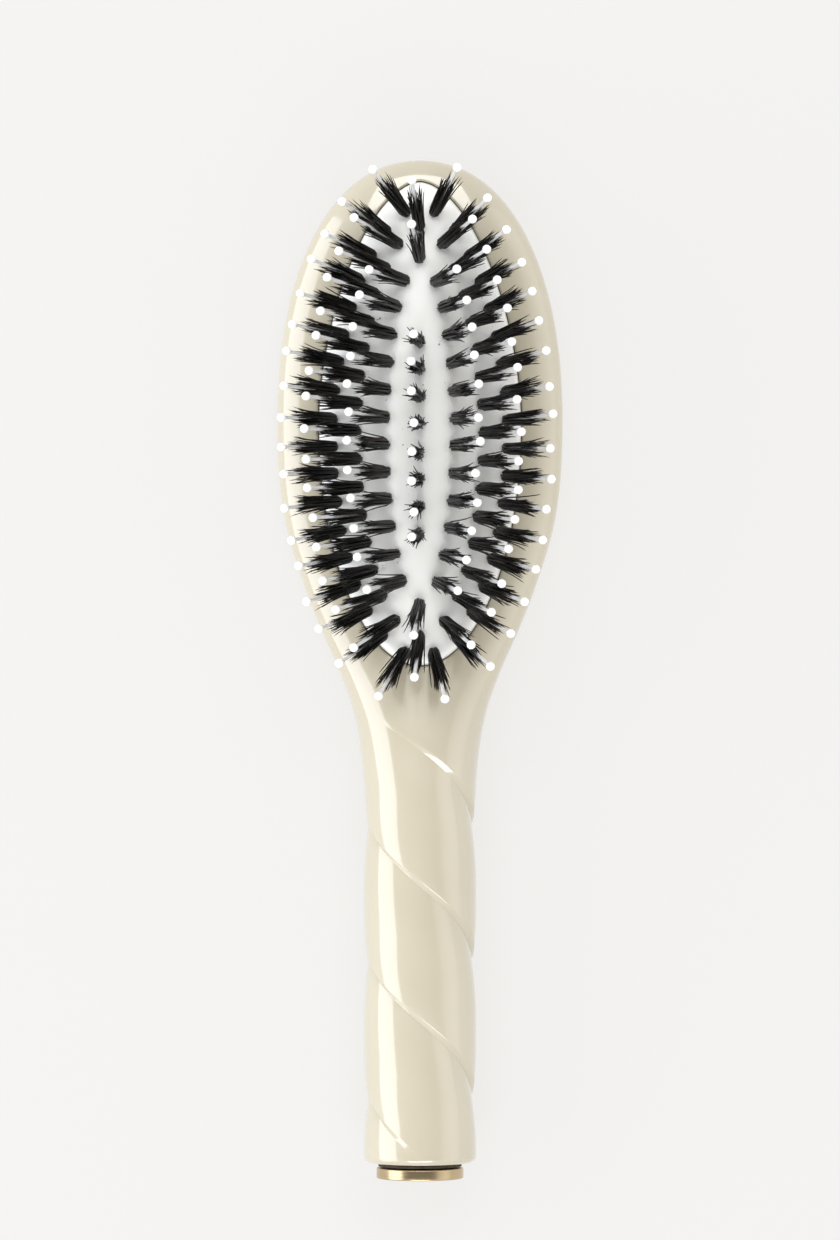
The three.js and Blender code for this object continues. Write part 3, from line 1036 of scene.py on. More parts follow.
@dataclass
class HeadAndHandle:
    """Glossy body: a fine skin of stations and columns, with a rounded recess let into its face."""

    palette: Palette
    cushion: CushionShape = field(default_factory=CushionShape)
    twist: RopeTwist = field(default_factory=RopeTwist)
    handle_rows: int = 180
    shoulder_rows: int = 90
    crown_rows: int = 80
    last_crown_row: float = 0.985  # of the quarter turn that ends at the tip
    columns: tuple[tuple[float, float, int], ...] = ((0, 0.06, 5), (0.06, 0.92, 52), (0.92, 1, 14))
    end_steps: int = 7
    collar_margin: float = 2.2  # how far round the recess the skin is redrawn as ovals
    collar_shares: tuple[float, ...] = (0.3, 0.55, 0.75, 0.9, 1.0)
    edge_radius: float = 0.45
    edge_steps: int = 7
    wall_drops: tuple[float, ...] = (1.2, 2.6)
    floor_shares: tuple[float, ...] = (1.0, 0.6, 0.25)
    crease_fade: float = 0.08  # how deep a crease is where its hard line begins

    @property
    def body(self) -> BodyShape:
        """Shape of the head and handle."""
        return self.cushion.body

    def stations(self) -> np.ndarray:
        """Stations of the rows, from the rounded end of the handle to just short of the tip.

        Returns:
            The stations by rising distance.
        """
        body = self.body
        start = body.handle_end + body.end_round
        handle = np.linspace(start, self.twist.fade_out[1], self.handle_rows, endpoint=False)
        shoulder = np.linspace(self.twist.fade_out[1], body.widest, self.shoulder_rows, endpoint=False)
        turns = np.linspace(0, self.last_crown_row, self.crown_rows) * math.pi / 2
        return np.concatenate([handle, shoulder, body.widest + body.crown_length * np.sin(turns)])

    def angles(self, station: float) -> np.ndarray:
        """Angles of the columns, which follow the creases and are closer together beside them."""
        shares = np.concatenate([np.linspace(*stretch, endpoint=False) for stretch in self.columns])
        return np.concatenate([shares, shares + 1]) * math.pi + self.twist.turn(np.array([station]))

    def ring(self, station: float, inset: float = 0.0) -> np.ndarray:
        """Surface points round the section at a station, pulled in by an inset.

        Args:
            station: Distance along the brush from the cap's outer face.
            inset: How far the points lie under the surface.

        Returns:
            One row (x, y, z) for each column.
        """
        body = self.body
        at = np.array([station])
        angle = self.angles(station)
        across, up, power = np.cos(angle), np.sin(angle), body.power(at)
        reach = (np.abs(across) ** power + np.abs(up) ** power) ** (-1 / power)
        cut = self.twist.cut(at, angle) + inset
        half = body.half_thickness(at) + np.where(up < 0, body.back_flat * body.head_blend(at), 0)
        x = (body.half_width(at) * reach - cut) * across
        z = body.middle_height(at) + (half * reach - cut) * up
        return np.column_stack([x, np.full(len(x), body.to_y(station)), np.maximum(0, z)])

    def close_end(self, builder: MeshBuilder, first: np.ndarray) -> None:
        """Rounds the handle's end over to its flat face and runs the insert's bore into it.

        Args:
            builder: Collects the piece's mesh.
            first: Numbers of the skin's first ring.
        """
        body = self.body
        rings = [first]
        for turn in np.linspace(1, 0, self.end_steps)[1:] * math.pi / 2:
            inset = body.end_round * (1 - math.sin(turn))
            station = body.handle_end + body.end_round * (1 - math.cos(turn))
            rings.append(builder.add(self.ring(station, inset)))
        for station in (body.handle_end, body.bore_end):
            rings.append(builder.add(body.circle(body.bore_radius, station, self.angles(station))))
        for near, far in zip(rings[1:], rings):
            builder.bridge(far, near)
        builder.fan(rings[-1], builder.add(body.axis_point(body.bore_end))[0])

    def open_recess(self, points: np.ndarray, faces: np.ndarray) -> np.ndarray:
        """Leaves out the faces of the skin that lie over the recess.

        Args:
            points: The skin's points.
            faces: The skin's faces, as rows of point numbers.

        Returns:
            The faces that stay.
        """
        centre = points[faces].mean(axis=1)
        along = self.cushion.along(centre[:, 1])
        inside = self.cushion.reach(centre[:, 0], along, self.collar_margin) < 1
        return faces[~(inside & (centre[:, 2] > self.body.head_thickness / 2))]

    @staticmethod
    def open_loop(faces: np.ndarray, left_out: set[int]) -> np.ndarray:
        """Points round the one opening of a skin, in the order of its faces.

        Args:
            faces: Rows of four point numbers.
            left_out: Points of the skin's two end rings.

        Returns:
            The loop's point numbers.
        """
        pairs = {(int(a), int(b)) for k in range(4) for a, b in zip(faces[:, k], faces[:, (k + 1) % 4])}
        after = {a: b for a, b in pairs if (b, a) not in pairs and a not in left_out}
        loop = [next(iter(after))]
        while after[loop[-1]] != loop[0]:
            loop.append(after[loop[-1]])
        return np.array(loop)

    def recess_steps(self) -> list[tuple[float, float]]:
        """Steps from the skin to the recess wall, each a margin to the cushion and a drop under the face.

        Returns:
            The (margin, drop) steps from the outside in.
        """
        wall, radius = self.cushion.clearance, self.edge_radius
        steps = [(mix(self.collar_margin, wall + radius, share), 0.0) for share in self.collar_shares]
        for turn in np.linspace(0, math.pi / 2, self.edge_steps)[1:]:
            steps.append((wall + radius * (1 - math.sin(turn)), radius * (1 - math.cos(turn))))
        return steps + [(wall, drop) for drop in self.wall_drops]

    def sink_recess(self, builder: MeshBuilder, loop: np.ndarray) -> None:
        """Draws the opening in to an even oval, rounds its edge over, and adds a wall and a floor.

        Args:
            builder: Collects the piece's mesh.
            loop: Numbers of the points round the opening.
        """
        cushion = self.cushion
        edge = builder.at(loop)
        places = np.column_stack([edge[:, 0], cushion.along(edge[:, 1])])
        angles = cushion.oval_angle(self.collar_margin, places)

        def level(margin: float, drop: float) -> np.ndarray:
            """Ring of points a drop under the face."""
            spots = cushion.outline(angles, margin)
            return cushion.points(spots, cushion.rim_height(spots[:, 0], spots[:, 1]) - drop)

        builder.move(loop, level(self.collar_margin, 0))
        rings = [loop] + [builder.add(level(*step)) for step in self.recess_steps()]
        for share in self.floor_shares:
            spots = cushion.outline(angles, cushion.clearance, share)
            rings.append(builder.add(cushion.points(spots, np.full(len(spots), cushion.chamber_floor))))
        for outer, inner in zip(rings, rings[1:]):
            builder.bridge(outer[::-1], inner[::-1])
        builder.fan(rings[-1][::-1], builder.add(cushion.middle(cushion.chamber_floor))[0])

    def sharpen_creases(self, thing: Thing, rows: int, columns: int) -> None:
        """Keeps a hard line along each crease while it is deep.

        Args:
            thing: The body, whose first points are the skin's rows.
            rows: How many rows the skin has.
            columns: How many columns it has.
        """
        mesh = thing.data
        ends = np.zeros(len(mesh.edges) * 2, int)
        mesh.edges.foreach_get("vertices", ends)
        ends = ends.reshape(-1, 2)
        row, column = ends // columns, ends % columns
        at = self.stations()[np.minimum(row[:, 0], rows - 1)]
        crease = (column[:, 0] == column[:, 1]) & (column[:, 0] % (columns // 2) == 0)
        crease &= (ends.max(axis=1) < rows * columns) & (self.twist.fade(at) > self.crease_fade)
        sharp = mesh.attributes.new("sharp_edge", "BOOLEAN", "EDGE")
        sharp.data.foreach_set("value", crease)

    def build(self) -> Thing:
        """Makes the body.

        Returns:
            The finished piece.
        """
        body = self.body
        builder = MeshBuilder()
        skin = np.array([self.ring(station) for station in self.stations()])
        rows, columns = skin.shape[:2]
        grid = builder.add(skin.reshape(-1, 3)).reshape(rows, columns)
        right = np.roll(grid, -1, axis=1)
        quads = np.stack([grid[:-1], grid[1:], right[1:], right[:-1]], axis=-1).reshape(-1, 4)
        kept = self.open_recess(skin.reshape(-1, 3), quads)
        builder.faces(kept)
        self.close_end(builder, grid[0])
        tip = builder.add(np.array([0, body.to_y(body.length), body.head_thickness / 2]))[0]
        builder.fan(grid[-1][::-1], tip)
        self.sink_recess(builder, self.open_loop(kept, {*grid[0].tolist(), *grid[-1].tolist()}))
        thing = builder.build("head_and_handle_gloss", self.palette[Slot.ACETATE])
        self.sharpen_creases(thing, rows, columns)
        dress(thing, Slot.ACETATE, ["head_and_handle"], "root")
        return thing


# ---------------------------------------------------------------- cushion


@dataclass
class Cushion:
    """Domed rubber pad, dimpled where each tuft is drawn in, with a vent hole."""

    palette: Palette
    layout: TuftLayout = field(default_factory=TuftLayout)
    around: int = 320
    rings: int = 96
    edge_radius: float = 0.8
    skirt_thickness: float = 1.1
    under_shares: tuple[float, ...] = (0.94, 0.75, 0.5, 0.25)
    dimple_depth: float = 0.35
    dimple_radius: float = 1.9
    vent_place: tuple[float, float] = (-8.0, -31.2)
    vent_radius: float = 0.65
    vent_depth: float = 1.3
    fill: float = 0.95
    blend_start: float = 3.0  # height over the pad's lowest edge, used only for a point that nothing reads

    @property
    def shape(self) -> CushionShape:
        """Outline and dome of the pad."""
        return self.layout.cushion

    def sunk(self, places: np.ndarray, heights: np.ndarray) -> np.ndarray:
        """Heights lowered by the dimples round the tufts and by the vent.

        Args:
            places: Rows of (x, along).
            heights: Heights of the plain dome there.

        Returns:
            The lowered heights.
        """
        for _, tufts in self.layout.rows().values():
            for tuft in tufts:
                along = self.shape.along(tuft.base.y)
                away = np.hypot(places[:, 0] - tuft.base.x, places[:, 1] - along)
                heights = heights - self.dimple_depth * np.exp(-((away / self.dimple_radius) ** 2))
        away = np.hypot(places[:, 0] - self.vent_place[0], places[:, 1] - self.vent_place[1])
        hole = 1 - smoothstep(away, 0.6 * self.vent_radius, 1.1 * self.vent_radius)
        return heights - self.vent_depth * hole

    def levels(self) -> Iterator[np.ndarray]:
        """Rings of points from the crown out over the dome, down the skirt and in under the pad.

        Returns:
            The rings in order.
        """
        shape = self.shape
        angles = 2 * math.pi * np.arange(self.around) / self.around
        for share in np.linspace(0, 1, self.rings)[1:]:
            places = shape.outline(angles, 0.0, share)
            heights = self.sunk(places, shape.height(places[:, 0], places[:, 1]))
            inward = np.clip(1 - shape.half_width * (1 - share) / self.edge_radius, 0, 1)
            yield shape.points(places, heights - self.edge_radius * (1 - math.sqrt(1 - inward**2)))
        for margin in (0.0, -self.skirt_thickness):
            yield shape.points(shape.outline(angles, margin), np.full(self.around, shape.foot))
        for share in self.under_shares:
            places = shape.outline(angles, 0.0, share)
            yield shape.points(places, shape.height(places[:, 0], places[:, 1]) - self.hollow_under)

    @property
    def hollow_under(self) -> float:
        """How far the pad's under side lies below its dome."""
        return 2 * self.shape.thickness

    def build(self) -> Thing:
        """Makes the cushion.

        Returns:
            The finished piece.
        """
        shape = self.shape
        builder = MeshBuilder()
        rings = [builder.add(points) for points in self.levels()]
        crown, under = (
            builder.add(shape.middle(height))[0] for height in (shape.crown, shape.crown - self.hollow_under)
        )
        for inner, outer in zip(rings, rings[1:]):
            builder.bridge(outer, inner)
        builder.fan(rings[0], crown)
        builder.fan(rings[-1][::-1], under)
        thing = builder.build("cushion_rubber", self.palette[Slot.RUBBER])
        dress(thing, Slot.RUBBER, ["cushion_pad"])
        still = (0, 0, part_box("cushion_pad")[0].z + self.blend_start * MM)
        shape.crown * MM
        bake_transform(thing)
        return thing


# ---------------------------------------------------------------- bristles and pins


class GeometryTree:
    """A Geometry Nodes tree with named inputs that ends in realised instances of one material."""

    def __init__(self, name: str, inputs: dict[str, tuple[str, Any]]) -> None:
        """Makes the tree's sockets.

        Args:
            name: The tree's name.
            inputs: Each input's name, with its socket type and its value or None.
        """
        self.tree = bpy.data.node_groups.new(name, "GeometryNodeTree")
        face = self.tree.interface
        face.new_socket("Geometry", in_out="INPUT", socket_type="NodeSocketGeometry")
        self.identifiers: dict[str, str] = {}
        for label, (kind, default) in inputs.items():
            socket = face.new_socket(label, in_out="INPUT", socket_type=kind)
            if default is not None:
                socket.default_value = default
            self.identifiers[label] = socket.identifier
        face.new_socket("Geometry", in_out="OUTPUT", socket_type="NodeSocketGeometry")
        self.graph = NodeGraph(self.tree)
        self.given = self.graph.add("NodeGroupInput").outputs

    def random(self, low: float, high: float, seed: int) -> Socket:
        """Random value for each element between two floats, with its own seed."""
        inputs = {2: low, 3: high, "Seed": seed}
        return self.graph.add("FunctionNodeRandomValue", inputs, data_type="FLOAT").outputs[1]

    def vector(self, x: Any = 0.0, y: Any = 0.0, z: Any = 0.0) -> Socket:
        """Vector of three values."""
        return self.graph.add("ShaderNodeCombineXYZ", {0: x, 1: y, 2: z}).outputs[0]

    def scaled(self, vector: Socket, scale: Any) -> Socket:
        """Vector multiplied by one value."""
        inputs = {0: vector, "Scale": scale}
        return self.graph.add("ShaderNodeVectorMath", inputs, operation="SCALE").outputs[0]

    def rotated(self, vector: Socket, rotation: Socket) -> Socket:
        """Vector turned by a rotation."""
        inputs = {"Vector": vector, "Rotation": rotation}
        return self.graph.add("FunctionNodeRotateVector", inputs).outputs[0]

    def upright_along(self, vector: Socket) -> Socket:
        """Rotation that stands an upright piece along a vector."""
        return self.graph.add("FunctionNodeAlignRotationToVector", {"Vector": vector}, axis="Z").outputs[0]

    def tuft_axis(self) -> Socket:
        """Direction of each seed point's tuft."""
        inputs = {"Name": "axis"}
        return self.graph.add("GeometryNodeInputNamedAttribute", inputs, data_type="FLOAT_VECTOR").outputs[0]

    def finish(self, instances: Socket) -> None:
        """Realises the instances, sets the material and ends the tree.

        Args:
            instances: The instances that the tree has placed.
        """
        real = self.graph.add("GeometryNodeRealizeInstances", {"Geometry": instances}).outputs[0]
        inputs = {"Geometry": real, "Material": self.given["Material"]}
        dressed = self.graph.add("GeometryNodeSetMaterial", inputs)
        self.graph.add("NodeGroupOutput", {"Geometry": dressed.outputs[0]})

    def apply(self, thing: Thing, values: dict[str, Any]) -> None:
        """Runs the tree on an object and leaves the result as its plain mesh.

        Args:
            thing: Object whose mesh holds the seed points.
            values: Input name to value.
        """
        modifier = thing.modifiers.new(self.tree.name, "NODES")
        modifier.node_group = self.tree
        for label, value in values.items():
            modifier[self.identifiers[label]] = value
        bpy.context.view_layer.update()
        evaluated = thing.evaluated_get(bpy.context.evaluated_depsgraph_get())
        mesh = bpy.data.meshes.new_from_object(evaluated)
        thing.modifiers.remove(modifier)
        seeds = thing.data
        thing.data = mesh
        mesh.name = thing.name
        bpy.data.meshes.remove(seeds)
        smooth(mesh)


class Blanks:
    """Collection of small pieces that a Geometry Nodes tree repeats, removed after use."""

    def __init__(self, name: str) -> None:
        """Makes the empty collection."""
        self.collection = bpy.data.collections.new(name)
        bpy.context.scene.collection.children.link(self.collection)

    def add_tapered(self, name: str, rings: Sequence[tuple[float, float, float]], sides: int) -> None:
        """Adds an upright tapered piece.

        Args:
            name: The piece's name.
            rings: The (height, radius, shift) of each ring from the root up; the last is a point.
            sides: How many sides it has.
        """
        builder = MeshBuilder()
        angles = 2 * math.pi * np.arange(sides) / sides
        made = []
        for height, radius, shift in rings[:-1]:
            x, y = radius * np.cos(angles) + shift, radius * np.sin(angles)
            made.append(builder.add(np.column_stack([x, y, np.full(sides, height)])))
        for low, high in zip(made, made[1:]):
            builder.bridge(low, high)
        height, _, shift = rings[-1]
        builder.fan(made[-1], builder.add(np.array([shift, 0, height]))[0])
        builder.faces([tuple(made[0][::-1])])
        self.collection.objects.link(bpy.data.objects.new(name, builder.mesh(name)))

    def remove(self) -> None:
        """Deletes the collection and its pieces."""
        for thing in list(self.collection.objects):
            mesh = thing.data
            bpy.data.objects.remove(thing)
            bpy.data.meshes.remove(mesh)
        bpy.data.collections.remove(self.collection)


def seed_points(name: str, tufts: Sequence[Tuft]) -> Thing:
    """Makes an object with a loose point at each tuft's root and the tuft's direction as its `axis`.

    Args:
        name: The object's name.
        tufts: The tufts of the piece.

    Returns:
        The object.
    """
    mesh = bpy.data.meshes.new(name)
    mesh.from_pydata([tuple(tuft.base * MM) for tuft in tufts], [], [])
    axes = mesh.attributes.new("axis", "FLOAT_VECTOR", "POINT")
    axes.data.foreach_set("vector", np.array([tuple(tuft.axis) for tuft in tufts], np.float32).ravel())
    return link(name, mesh)


@dataclass
class TuftedRows:
    """What bristles and pins share: a tree repeats their blanks at the tufts, as one piece for each zone."""

    palette: Palette
    layout: TuftLayout = field(default_factory=TuftLayout)

    piece: ClassVar[str]  # first word of the pieces' names
    node: ClassVar[str]  # first words of the names of the CAD nodes that they replace
    slot: ClassVar[Slot]

    def blanks(self) -> Blanks:
        """Pieces that the tree repeats."""
        raise NotImplementedError

    def tree(self) -> GeometryTree:
        """Tree that turns seed points into the rows."""
        raise NotImplementedError

    def build(self) -> list[Thing]:
        """Makes one piece for each zone.

        Returns:
            The finished pieces.
        """
        blanks = self.blanks()
        tree = self.tree()
        made = []
        for zone, (rows, tufts) in self.layout.zones().items():
            thing = seed_points(f"{self.piece}_{zone.name.lower()}", tufts)
            tree.apply(thing, {"Blanks": blanks.collection, "Material": self.palette[self.slot]})
            dress(thing, self.slot, [f"{self.node}_{row}" for row in rows], zone.value)
            made.append(thing)
        blanks.remove()
        bpy.data.node_groups.remove(tree.tree)
        return made


@dataclass
class BristleRows(TuftedRows):
    """Tufts of tapered bristles that stand tight at the root and fray towards the tip."""

    piece = "bristles"
    node = "bristle_tufts"
    slot = Slot.BRISTLE

    length: float = 15.6
    thickness: float = 0.4
    tip_share: float = 0.45  # of the thickness, left at the tip
    heights: tuple[float, ...] = (0.0, 0.05, 0.12, 0.4, 0.7, 0.9, 1.0)
    per_tuft: int = 56
    root_radius: float = 1.3
    splay: float = 0.02
    fray: float = 0.02
    shortest: float = 0.72
    root_depth: float = 0.45
    root_tuck: float = 0.75
    tucked: float = 0.12  # share of the length over which the root is drawn in
    bends: tuple[float, ...] = (-0.6, -0.2, 0.0, 0.3, 0.6, 1.0)
    wild_power: float = 5.0  # the higher, the fewer bristles stray far
    wild_gain: float = 5.0
    ragged_power: float = 0.7
    sides: int = 3
    seed: int = 11

    def blanks(self) -> Blanks:
        """Bristles of one length with different bends.

        Returns:
            The bristles.
        """
        blanks = Blanks("bristle_blanks")
        for number, bend in enumerate(self.bends):
            rings = []
            for share in self.heights:
                radius = self.thickness / 2 * mix(1.0, self.tip_share, share**2)
                tuck = self.root_tuck * max(0.0, 1 - share / self.tucked) ** 2
                rings.append((self.length * share, radius, bend * share**3 - tuck))
            blanks.add_tapered(f"bristle_{number}", rings, self.sides)
        return blanks

    def flat_spot(self, made: GeometryTree) -> Socket:
        """Adds a bristle's place in its tuft's round root, of radius 1.

        Args:
            made: The tree that is being built.

        Returns:
            The place, as a level vector.
        """
        graph = made.graph
        out = graph.math("SQRT", made.random(0.0, 1.0, self.seed))
        turn = made.random(0.0, 2 * math.pi, self.seed + 1)
        across = graph.math("MULTIPLY", graph.math("COSINE", turn), out)
        up = graph.math("MULTIPLY", graph.math("SINE", turn), out)
        return made.vector(across, up)

    def lean(self, made: GeometryTree, flat: Socket) -> Socket:
        """Adds a bristle's direction in its tuft: opened outwards, frayed, and a few of them stray.

        Args:
            made: The tree that is being built.
            flat: The bristle's place in the root.

        Returns:
            The direction, as if the tuft stood upright.
        """
        graph, given = made.graph, made.given
        stray = made.vector(made.random(-1.0, 1.0, self.seed + 2), made.random(-1.0, 1.0, self.seed + 3))
        wild = graph.math("POWER", made.random(0.0, 1.0, self.seed + 4), self.wild_power)
        gain = graph.math("ADD", graph.math("MULTIPLY", wild, self.wild_gain), 1.0)
        frayed = made.scaled(stray, graph.math("MULTIPLY", given["Fray"], gain))
        aside = graph.vector_math("ADD", made.scaled(flat, given["Splay"]), frayed)
        return graph.vector_math("ADD", aside, (0.0, 0.0, 1.0))

    def size(self, made: GeometryTree) -> Socket:
        """Adds a bristle's scale, which makes the tuft's end ragged.

        Args:
            made: The tree that is being built.

        Returns:
            The scale.
        """
        graph, shortest = made.graph, made.given["Shortest"]
        ragged = graph.math("POWER", made.random(0.0, 1.0, self.seed + 6), self.ragged_power)
        span = graph.math("SUBTRACT", 1.0, shortest)
        tall = graph.math("ADD", shortest, graph.math("MULTIPLY", ragged, span))
        return made.vector(1.0, 1.0, tall)

    def tree(self) -> GeometryTree:
        """Tree that turns each seed point into a tuft.

        Returns:
            The finished tree.
        """
        made = GeometryTree(
            "bristle_tuft",
            {
                "Per Tuft": ("NodeSocketInt", self.per_tuft),
                "Root Radius": ("NodeSocketFloat", self.root_radius * MM),
                "Splay": ("NodeSocketFloat", self.splay),
                "Fray": ("NodeSocketFloat", self.fray),
                "Shortest": ("NodeSocketFloat", self.shortest),
                "Root Depth": ("NodeSocketFloat", self.root_depth * MM),
                "Blanks": ("NodeSocketCollection", None),
                "Material": ("NodeSocketMaterial", None),
            },
        )
        graph, given = made.graph, made.given
        inputs = {"Geometry": given["Geometry"], "Amount": given["Per Tuft"]}
        copies = graph.add("GeometryNodeDuplicateElements", inputs, domain="POINT").outputs[0]
        stand = made.upright_along(made.tuft_axis())
        flat = self.flat_spot(made)
        sunk = made.vector(z=graph.math("MULTIPLY", given["Root Depth"], -1.0))
        offset = graph.vector_math("ADD", made.scaled(flat, given["Root Radius"]), sunk)
        inputs = {"Geometry": copies, "Offset": made.rotated(offset, stand)}
        placed = graph.add("GeometryNodeSetPosition", inputs).outputs[0]
        heading = made.upright_along(made.rotated(self.lean(made, flat), stand))
        inputs = {"Rotation": heading, "Vector": made.rotated(flat, stand)}
        options = {"axis": "X", "pivot_axis": "Z"}
        bent_outwards = graph.add("FunctionNodeAlignRotationToVector", inputs, **options).outputs[0]
        inputs = {"Collection": given["Blanks"], "Separate Children": True, "Reset Children": True}
        shapes = graph.add("GeometryNodeCollectionInfo", inputs).outputs[0]
        inputs = {"Points": placed, "Instance": shapes, "Rotation": bent_outwards, "Scale": self.size(made)}
        inputs["Pick Instance"] = True
        hairs = graph.add("GeometryNodeInstanceOnPoints", inputs).outputs[0]
        inputs = {"Geometry": hairs, "Name": "tone", "Value": made.random(0.0, 1.0, self.seed + 7)}
        options = {"data_type": "FLOAT", "domain": "INSTANCE"}
        made.finish(graph.add("GeometryNodeStoreNamedAttribute", inputs, **options).outputs[0])
        return made


@dataclass
class PinRows(TuftedRows):
    """Ball-tipped nylon pins, one up the middle of each tuft."""

    piece = "pins"
    node = "nylon_pins"
    slot = Slot.NYLON

    length: float = 19.0
    root_depth: float = 2.0
    ball_radius: float = 1.0
    shaft_radius: float = 0.45
    taper: tuple[float, float, float] = (1.0, 0.95, 0.85)  # at the foot, at the waist and under the ball
    waist_share: float = 0.6
    wander: float = 0.035
    sides: int = 10
    ball_rings: int = 7
    seed: int = 57

    def blanks(self) -> Blanks:
        """One upright pin.

        Returns:
            The pin.
        """
        blanks = Blanks("pin_blanks")
        radius = self.ball_radius
        centre = self.length - radius
        foot, waist, neck_share = self.taper
        rings = [
            (-self.root_depth, self.shaft_radius * foot, 0.0),
            (self.length * self.waist_share, self.shaft_radius * waist, 0.0),
        ]
        neck = math.asin(self.shaft_radius * neck_share / radius)
        for turn in np.linspace(neck, math.pi, self.ball_rings + 1)[:-1]:
            rings.append((centre - radius * math.cos(turn), radius * math.sin(turn), 0.0))
        rings.append((self.length, 0.0, 0.0))
        blanks.add_tapered("pin", rings, self.sides)
        return blanks

    def tree(self) -> GeometryTree:
        """Tree that stands a pin on each seed point.

        Returns:
            The finished tree.
        """
        made = GeometryTree(
            "ball_pins",
            {
                "Wander": ("NodeSocketFloat", self.wander),
                "Blanks": ("NodeSocketCollection", None),
                "Material": ("NodeSocketMaterial", None),
            },
        )
        graph, given = made.graph, made.given
        stray = made.vector(made.random(-1.0, 1.0, self.seed), made.random(-1.0, 1.0, self.seed + 1))
        heading = graph.vector_math("ADD", made.tuft_axis(), made.scaled(stray, given["Wander"]))
        shapes = graph.add("GeometryNodeCollectionInfo", {"Collection": given["Blanks"]}).outputs[0]
        inputs = {"Points": given["Geometry"], "Instance": shapes, "Rotation": made.upright_along(heading)}
        made.finish(graph.add("GeometryNodeInstanceOnPoints", inputs).outputs[0])
        return made


# ---------------------------------------------------------------- end cap


@dataclass
class CapStack:
    """Gold disc and dark washer at the handle's end, on a brass stud and insert."""

    palette: Palette
    body: BodyShape = field(default_factory=BodyShape)
    radius: float = 9.6
    thickness: float = 2.4
    edge: float = 0.35
    face_margin: float = 0.9  # between the face's first ring and the rounded edge
    socket_radius: float = 2.8
    socket_depth: float = 1.3
    washer_radius: float = 9.2
    washer_thickness: float = 0.5
    clearance: float = 0.3

    def disc(self) -> TurnedPiece:
        """Gold disc with rounded edges, and the stud's socket behind.

        Returns:
            The disc, not built yet.
        """
        radius, edge, back = self.radius, self.edge, self.thickness
        floor = back - self.socket_depth
        profile = [(0.0, 0.0), (radius - edge - self.face_margin, 0.0)]
        profile += round_corner((radius, 0.0), (radius - edge, 0.0), (radius, edge))
        profile += round_corner((radius, back), (radius, back - edge), (radius - edge, back))
        profile += [(self.socket_radius, back), (self.socket_radius, floor), (0.0, floor)]
        return TurnedPiece("end_cap_gold", profile)

    def washer(self) -> TurnedPiece:
        """Thin washer between the disc and the handle.

        Returns:
            The washer, not built yet.
        """
        near = self.thickness + self.clearance
        far = near + self.washer_thickness
        hole, radius = self.socket_radius, self.washer_radius
        profile = [(hole, near), (radius, near), (radius, far), (hole, far)]
        return TurnedPiece("cap_washer_fibre", profile, hollow=True)

    def build(self, nodes: dict[str, Thing]) -> list[Thing]:
        """Makes the disc and washer, and gives the CAD's own stud and insert their finish.

        Args:
            nodes: The CAD's own objects by name.

        Returns:
            The two finished pieces.
        """
        pieces = []
        turned = ((self.disc(), "end_cap", Slot.GOLD), (self.washer(), "cap_washer", Slot.FIBRE))
        for piece, node, slot in turned:
            thing = piece.build(self.body, self.palette[slot])
            dress(thing, slot, [node], "root")
            pieces.append(thing)
        for name in ("cap_stud", "handle_insert"):
            materials = nodes[name].data.materials
            materials.clear()
            materials.append(self.palette[Slot.BRASS])
        return pieces


# ---------------------------------------------------------------- studio


@dataclass(frozen=True)
class Softbox:
    """Rectangular lamp that faces a point over the brush."""

    name: str
    place: Vector
    size: tuple[float, float]
    radiance: float
    tint: Colour = (1.0, 1.0, 1.0)
    aim: Vector = field(default_factory=lambda: Vector((0, 0, 0.01)))

    def build(self) -> Thing:
        """Makes the lamp, with the power that gives its face this radiance.

        Returns:
            The lamp.
        """
        lamp = bpy.data.lights.new(self.name, "AREA")
        lamp.shape = "RECTANGLE"
        lamp.size, lamp.size_y = self.size
        lamp.energy = math.pi * self.radiance * self.size[0] * self.size[1]
        lamp.color = self.tint
        thing = link(self.name, lamp)
        turn = (self.place - self.aim).normalized().to_track_quat("Z", "Y")
        thing.matrix_world = Matrix.Translation(self.place) @ turn.to_matrix().to_4x4()
        return thing


WINDOW_HEIGHT = 0.235
SOFTBOXES = (
    Softbox(
        "left_window",
        place=Vector((-0.5, 0.0, WINDOW_HEIGHT)),
        size=(0.9, 0.45),
        radiance=1.9,
        tint=(0.94, 0.98, 1.06),
        aim=Vector((0, 0, WINDOW_HEIGHT)),
    ),
    Softbox("right_fill", place=Vector((0.75, 0.0, 0.35)), size=(1.4, 0.6), radiance=0.3),
    Softbox("tip_side", place=Vector((0.0, 0.75, 0.95)), size=(1.0, 0.5), radiance=3.3),
    Softbox("handle_side", place=Vector((0.0, -0.85, 0.95)), size=(1.0, 0.5), radiance=3.8),
)


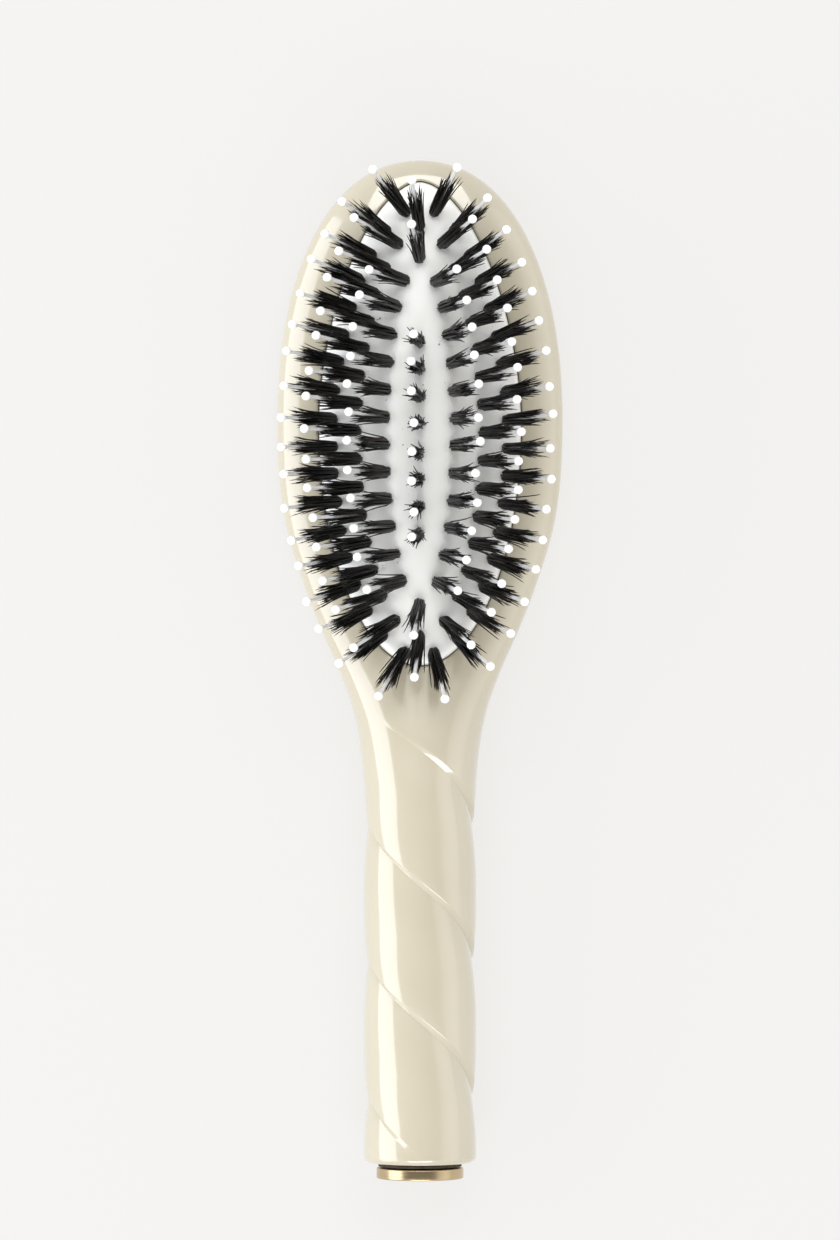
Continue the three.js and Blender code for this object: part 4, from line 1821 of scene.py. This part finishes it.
@dataclass
class Studio:
    """Pale floor, soft lamps and the camera straight above the brush, in metres."""

    camera_height: float = 1.6
    focus_height: float = 0.012
    centre_y: float = 0.0108
    frame_height: float = 0.2741
    sensor: float = 36.0
    floor_size: float = 9.0
    floor_tones: tuple[Colour, Colour] = ((0.118, 0.117, 0.115), (0.122, 0.121, 0.119))
    floor_glow: Colour = (0.905, 0.896, 0.880)
    floor_glow_strength: float = 0.82
    sky: float = 0.9
    sky_tone: Colour = (1.0, 0.995, 0.985)
    ceiling: float = 0.3  # share of the sky's light that the dark patch overhead gives
    ceiling_top: float = 0.86
    ceiling_softness: float = 2.2
    ceiling_ends: tuple[float, float] = (4.0, -0.7)  # slope and start of the fade towards the brush's ends
    softboxes: tuple[Softbox, ...] = SOFTBOXES

    def floor(self) -> None:
        """Makes the matt floor, lit a little from within so that shadows stay pale."""
        half = self.floor_size / 2
        mesh = bpy.data.meshes.new("floor")
        corners = [(-half, -half, 0), (half, -half, 0), (half, half, 0), (-half, half, 0)]
        mesh.from_pydata(corners, [], [(0, 1, 2, 3)])
        material, graph = new_material("pale_floor")
        place = graph.add("ShaderNodeTexCoord").outputs["Object"]
        dark, light = self.floor_tones
        tone = graph.ramp(graph.noise(place, 2.0), (0.3, dark), (0.7, light))
        matt = graph.add("ShaderNodeBsdfDiffuse", {"Color": tone}).outputs[0]
        glow = {"Color": (*self.floor_glow, 1), "Strength": self.floor_glow_strength}
        lit = graph.add("ShaderNodeEmission", glow).outputs[0]
        both = graph.add("ShaderNodeAddShader", {0: matt, 1: lit}).outputs[0]
        graph.add("ShaderNodeOutputMaterial", {"Surface": both})
        mesh.materials.append(material)
        link("floor", mesh)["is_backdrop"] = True

    def surroundings(self) -> None:
        """Makes the pale light from all round, with a darker patch straight overhead."""
        world = bpy.data.worlds.new("studio")
        world.use_nodes = True
        world.node_tree.nodes.clear()
        graph = NodeGraph(world.node_tree)
        direction = graph.add("ShaderNodeTexCoord").outputs["Generated"]
        split = graph.add("ShaderNodeSeparateXYZ", {"Vector": direction})
        below = graph.math("SUBTRACT", self.ceiling_top, split.outputs["Z"])
        below = graph.math("MULTIPLY", below, self.ceiling_softness)
        beside = graph.math("MULTIPLY_ADD", graph.math("ABSOLUTE", split.outputs["Y"]), *self.ceiling_ends)
        opened = graph.math("MAXIMUM", below, beside)
        share = graph.add("ShaderNodeClamp", {"Value": opened}).outputs[0]
        dim = tuple(self.ceiling * part for part in self.sky_tone)
        tone = graph.ramp(share, (0.0, dim), (1.0, self.sky_tone))
        light = graph.add("ShaderNodeBackground", {"Color": tone, "Strength": self.sky})
        graph.add("ShaderNodeOutputWorld", {"Surface": light.outputs[0]})
        bpy.context.scene.world = world

    def camera(self) -> None:
        """Makes the camera that looks straight down, with the brush's tip at the top of the frame."""
        lens = bpy.data.cameras.new("camera")
        lens.sensor_width = self.sensor
        lens.lens = self.sensor * (self.camera_height - self.focus_height) / self.frame_height
        lens.clip_start, lens.clip_end = 0.01, 10.0
        thing = link("camera", lens)
        thing.location = (0, self.centre_y, self.camera_height)
        bpy.context.scene.camera = thing

    def build(self) -> None:
        """Makes the whole set."""
        bpy.context.scene.view_settings.view_transform = "Standard"
        self.floor()
        self.surroundings()
        self.camera()
        for softbox in self.softboxes:
            softbox.build()


# ---------------------------------------------------------------- main


def main() -> None:
    """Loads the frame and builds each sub-assembly."""
    logging.basicConfig(level=logging.INFO, format="%(message)s")
    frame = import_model()
    cad_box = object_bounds()
    palette = Palette()
    Studio().build()
    pieces = [HeadAndHandle(palette).build(), Cushion(palette).build()]
    pieces += BristleRows(palette).build()
    pieces += PinRows(palette).build()
    pieces += CapStack(palette).build(frame["nodes"])
    for piece in pieces:
        LOG.info("%s: %d faces", piece.name, len(piece.data.polygons))
    visual_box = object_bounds()
    sizes = {
        "cad": [list(corner) for corner in cad_box],
        "visual": [list(corner) for corner in visual_box],
    }
    LOG.info("CAD box %s, visual box %s", sizes["cad"], sizes["visual"])


if __name__ == "__main__":
    main()
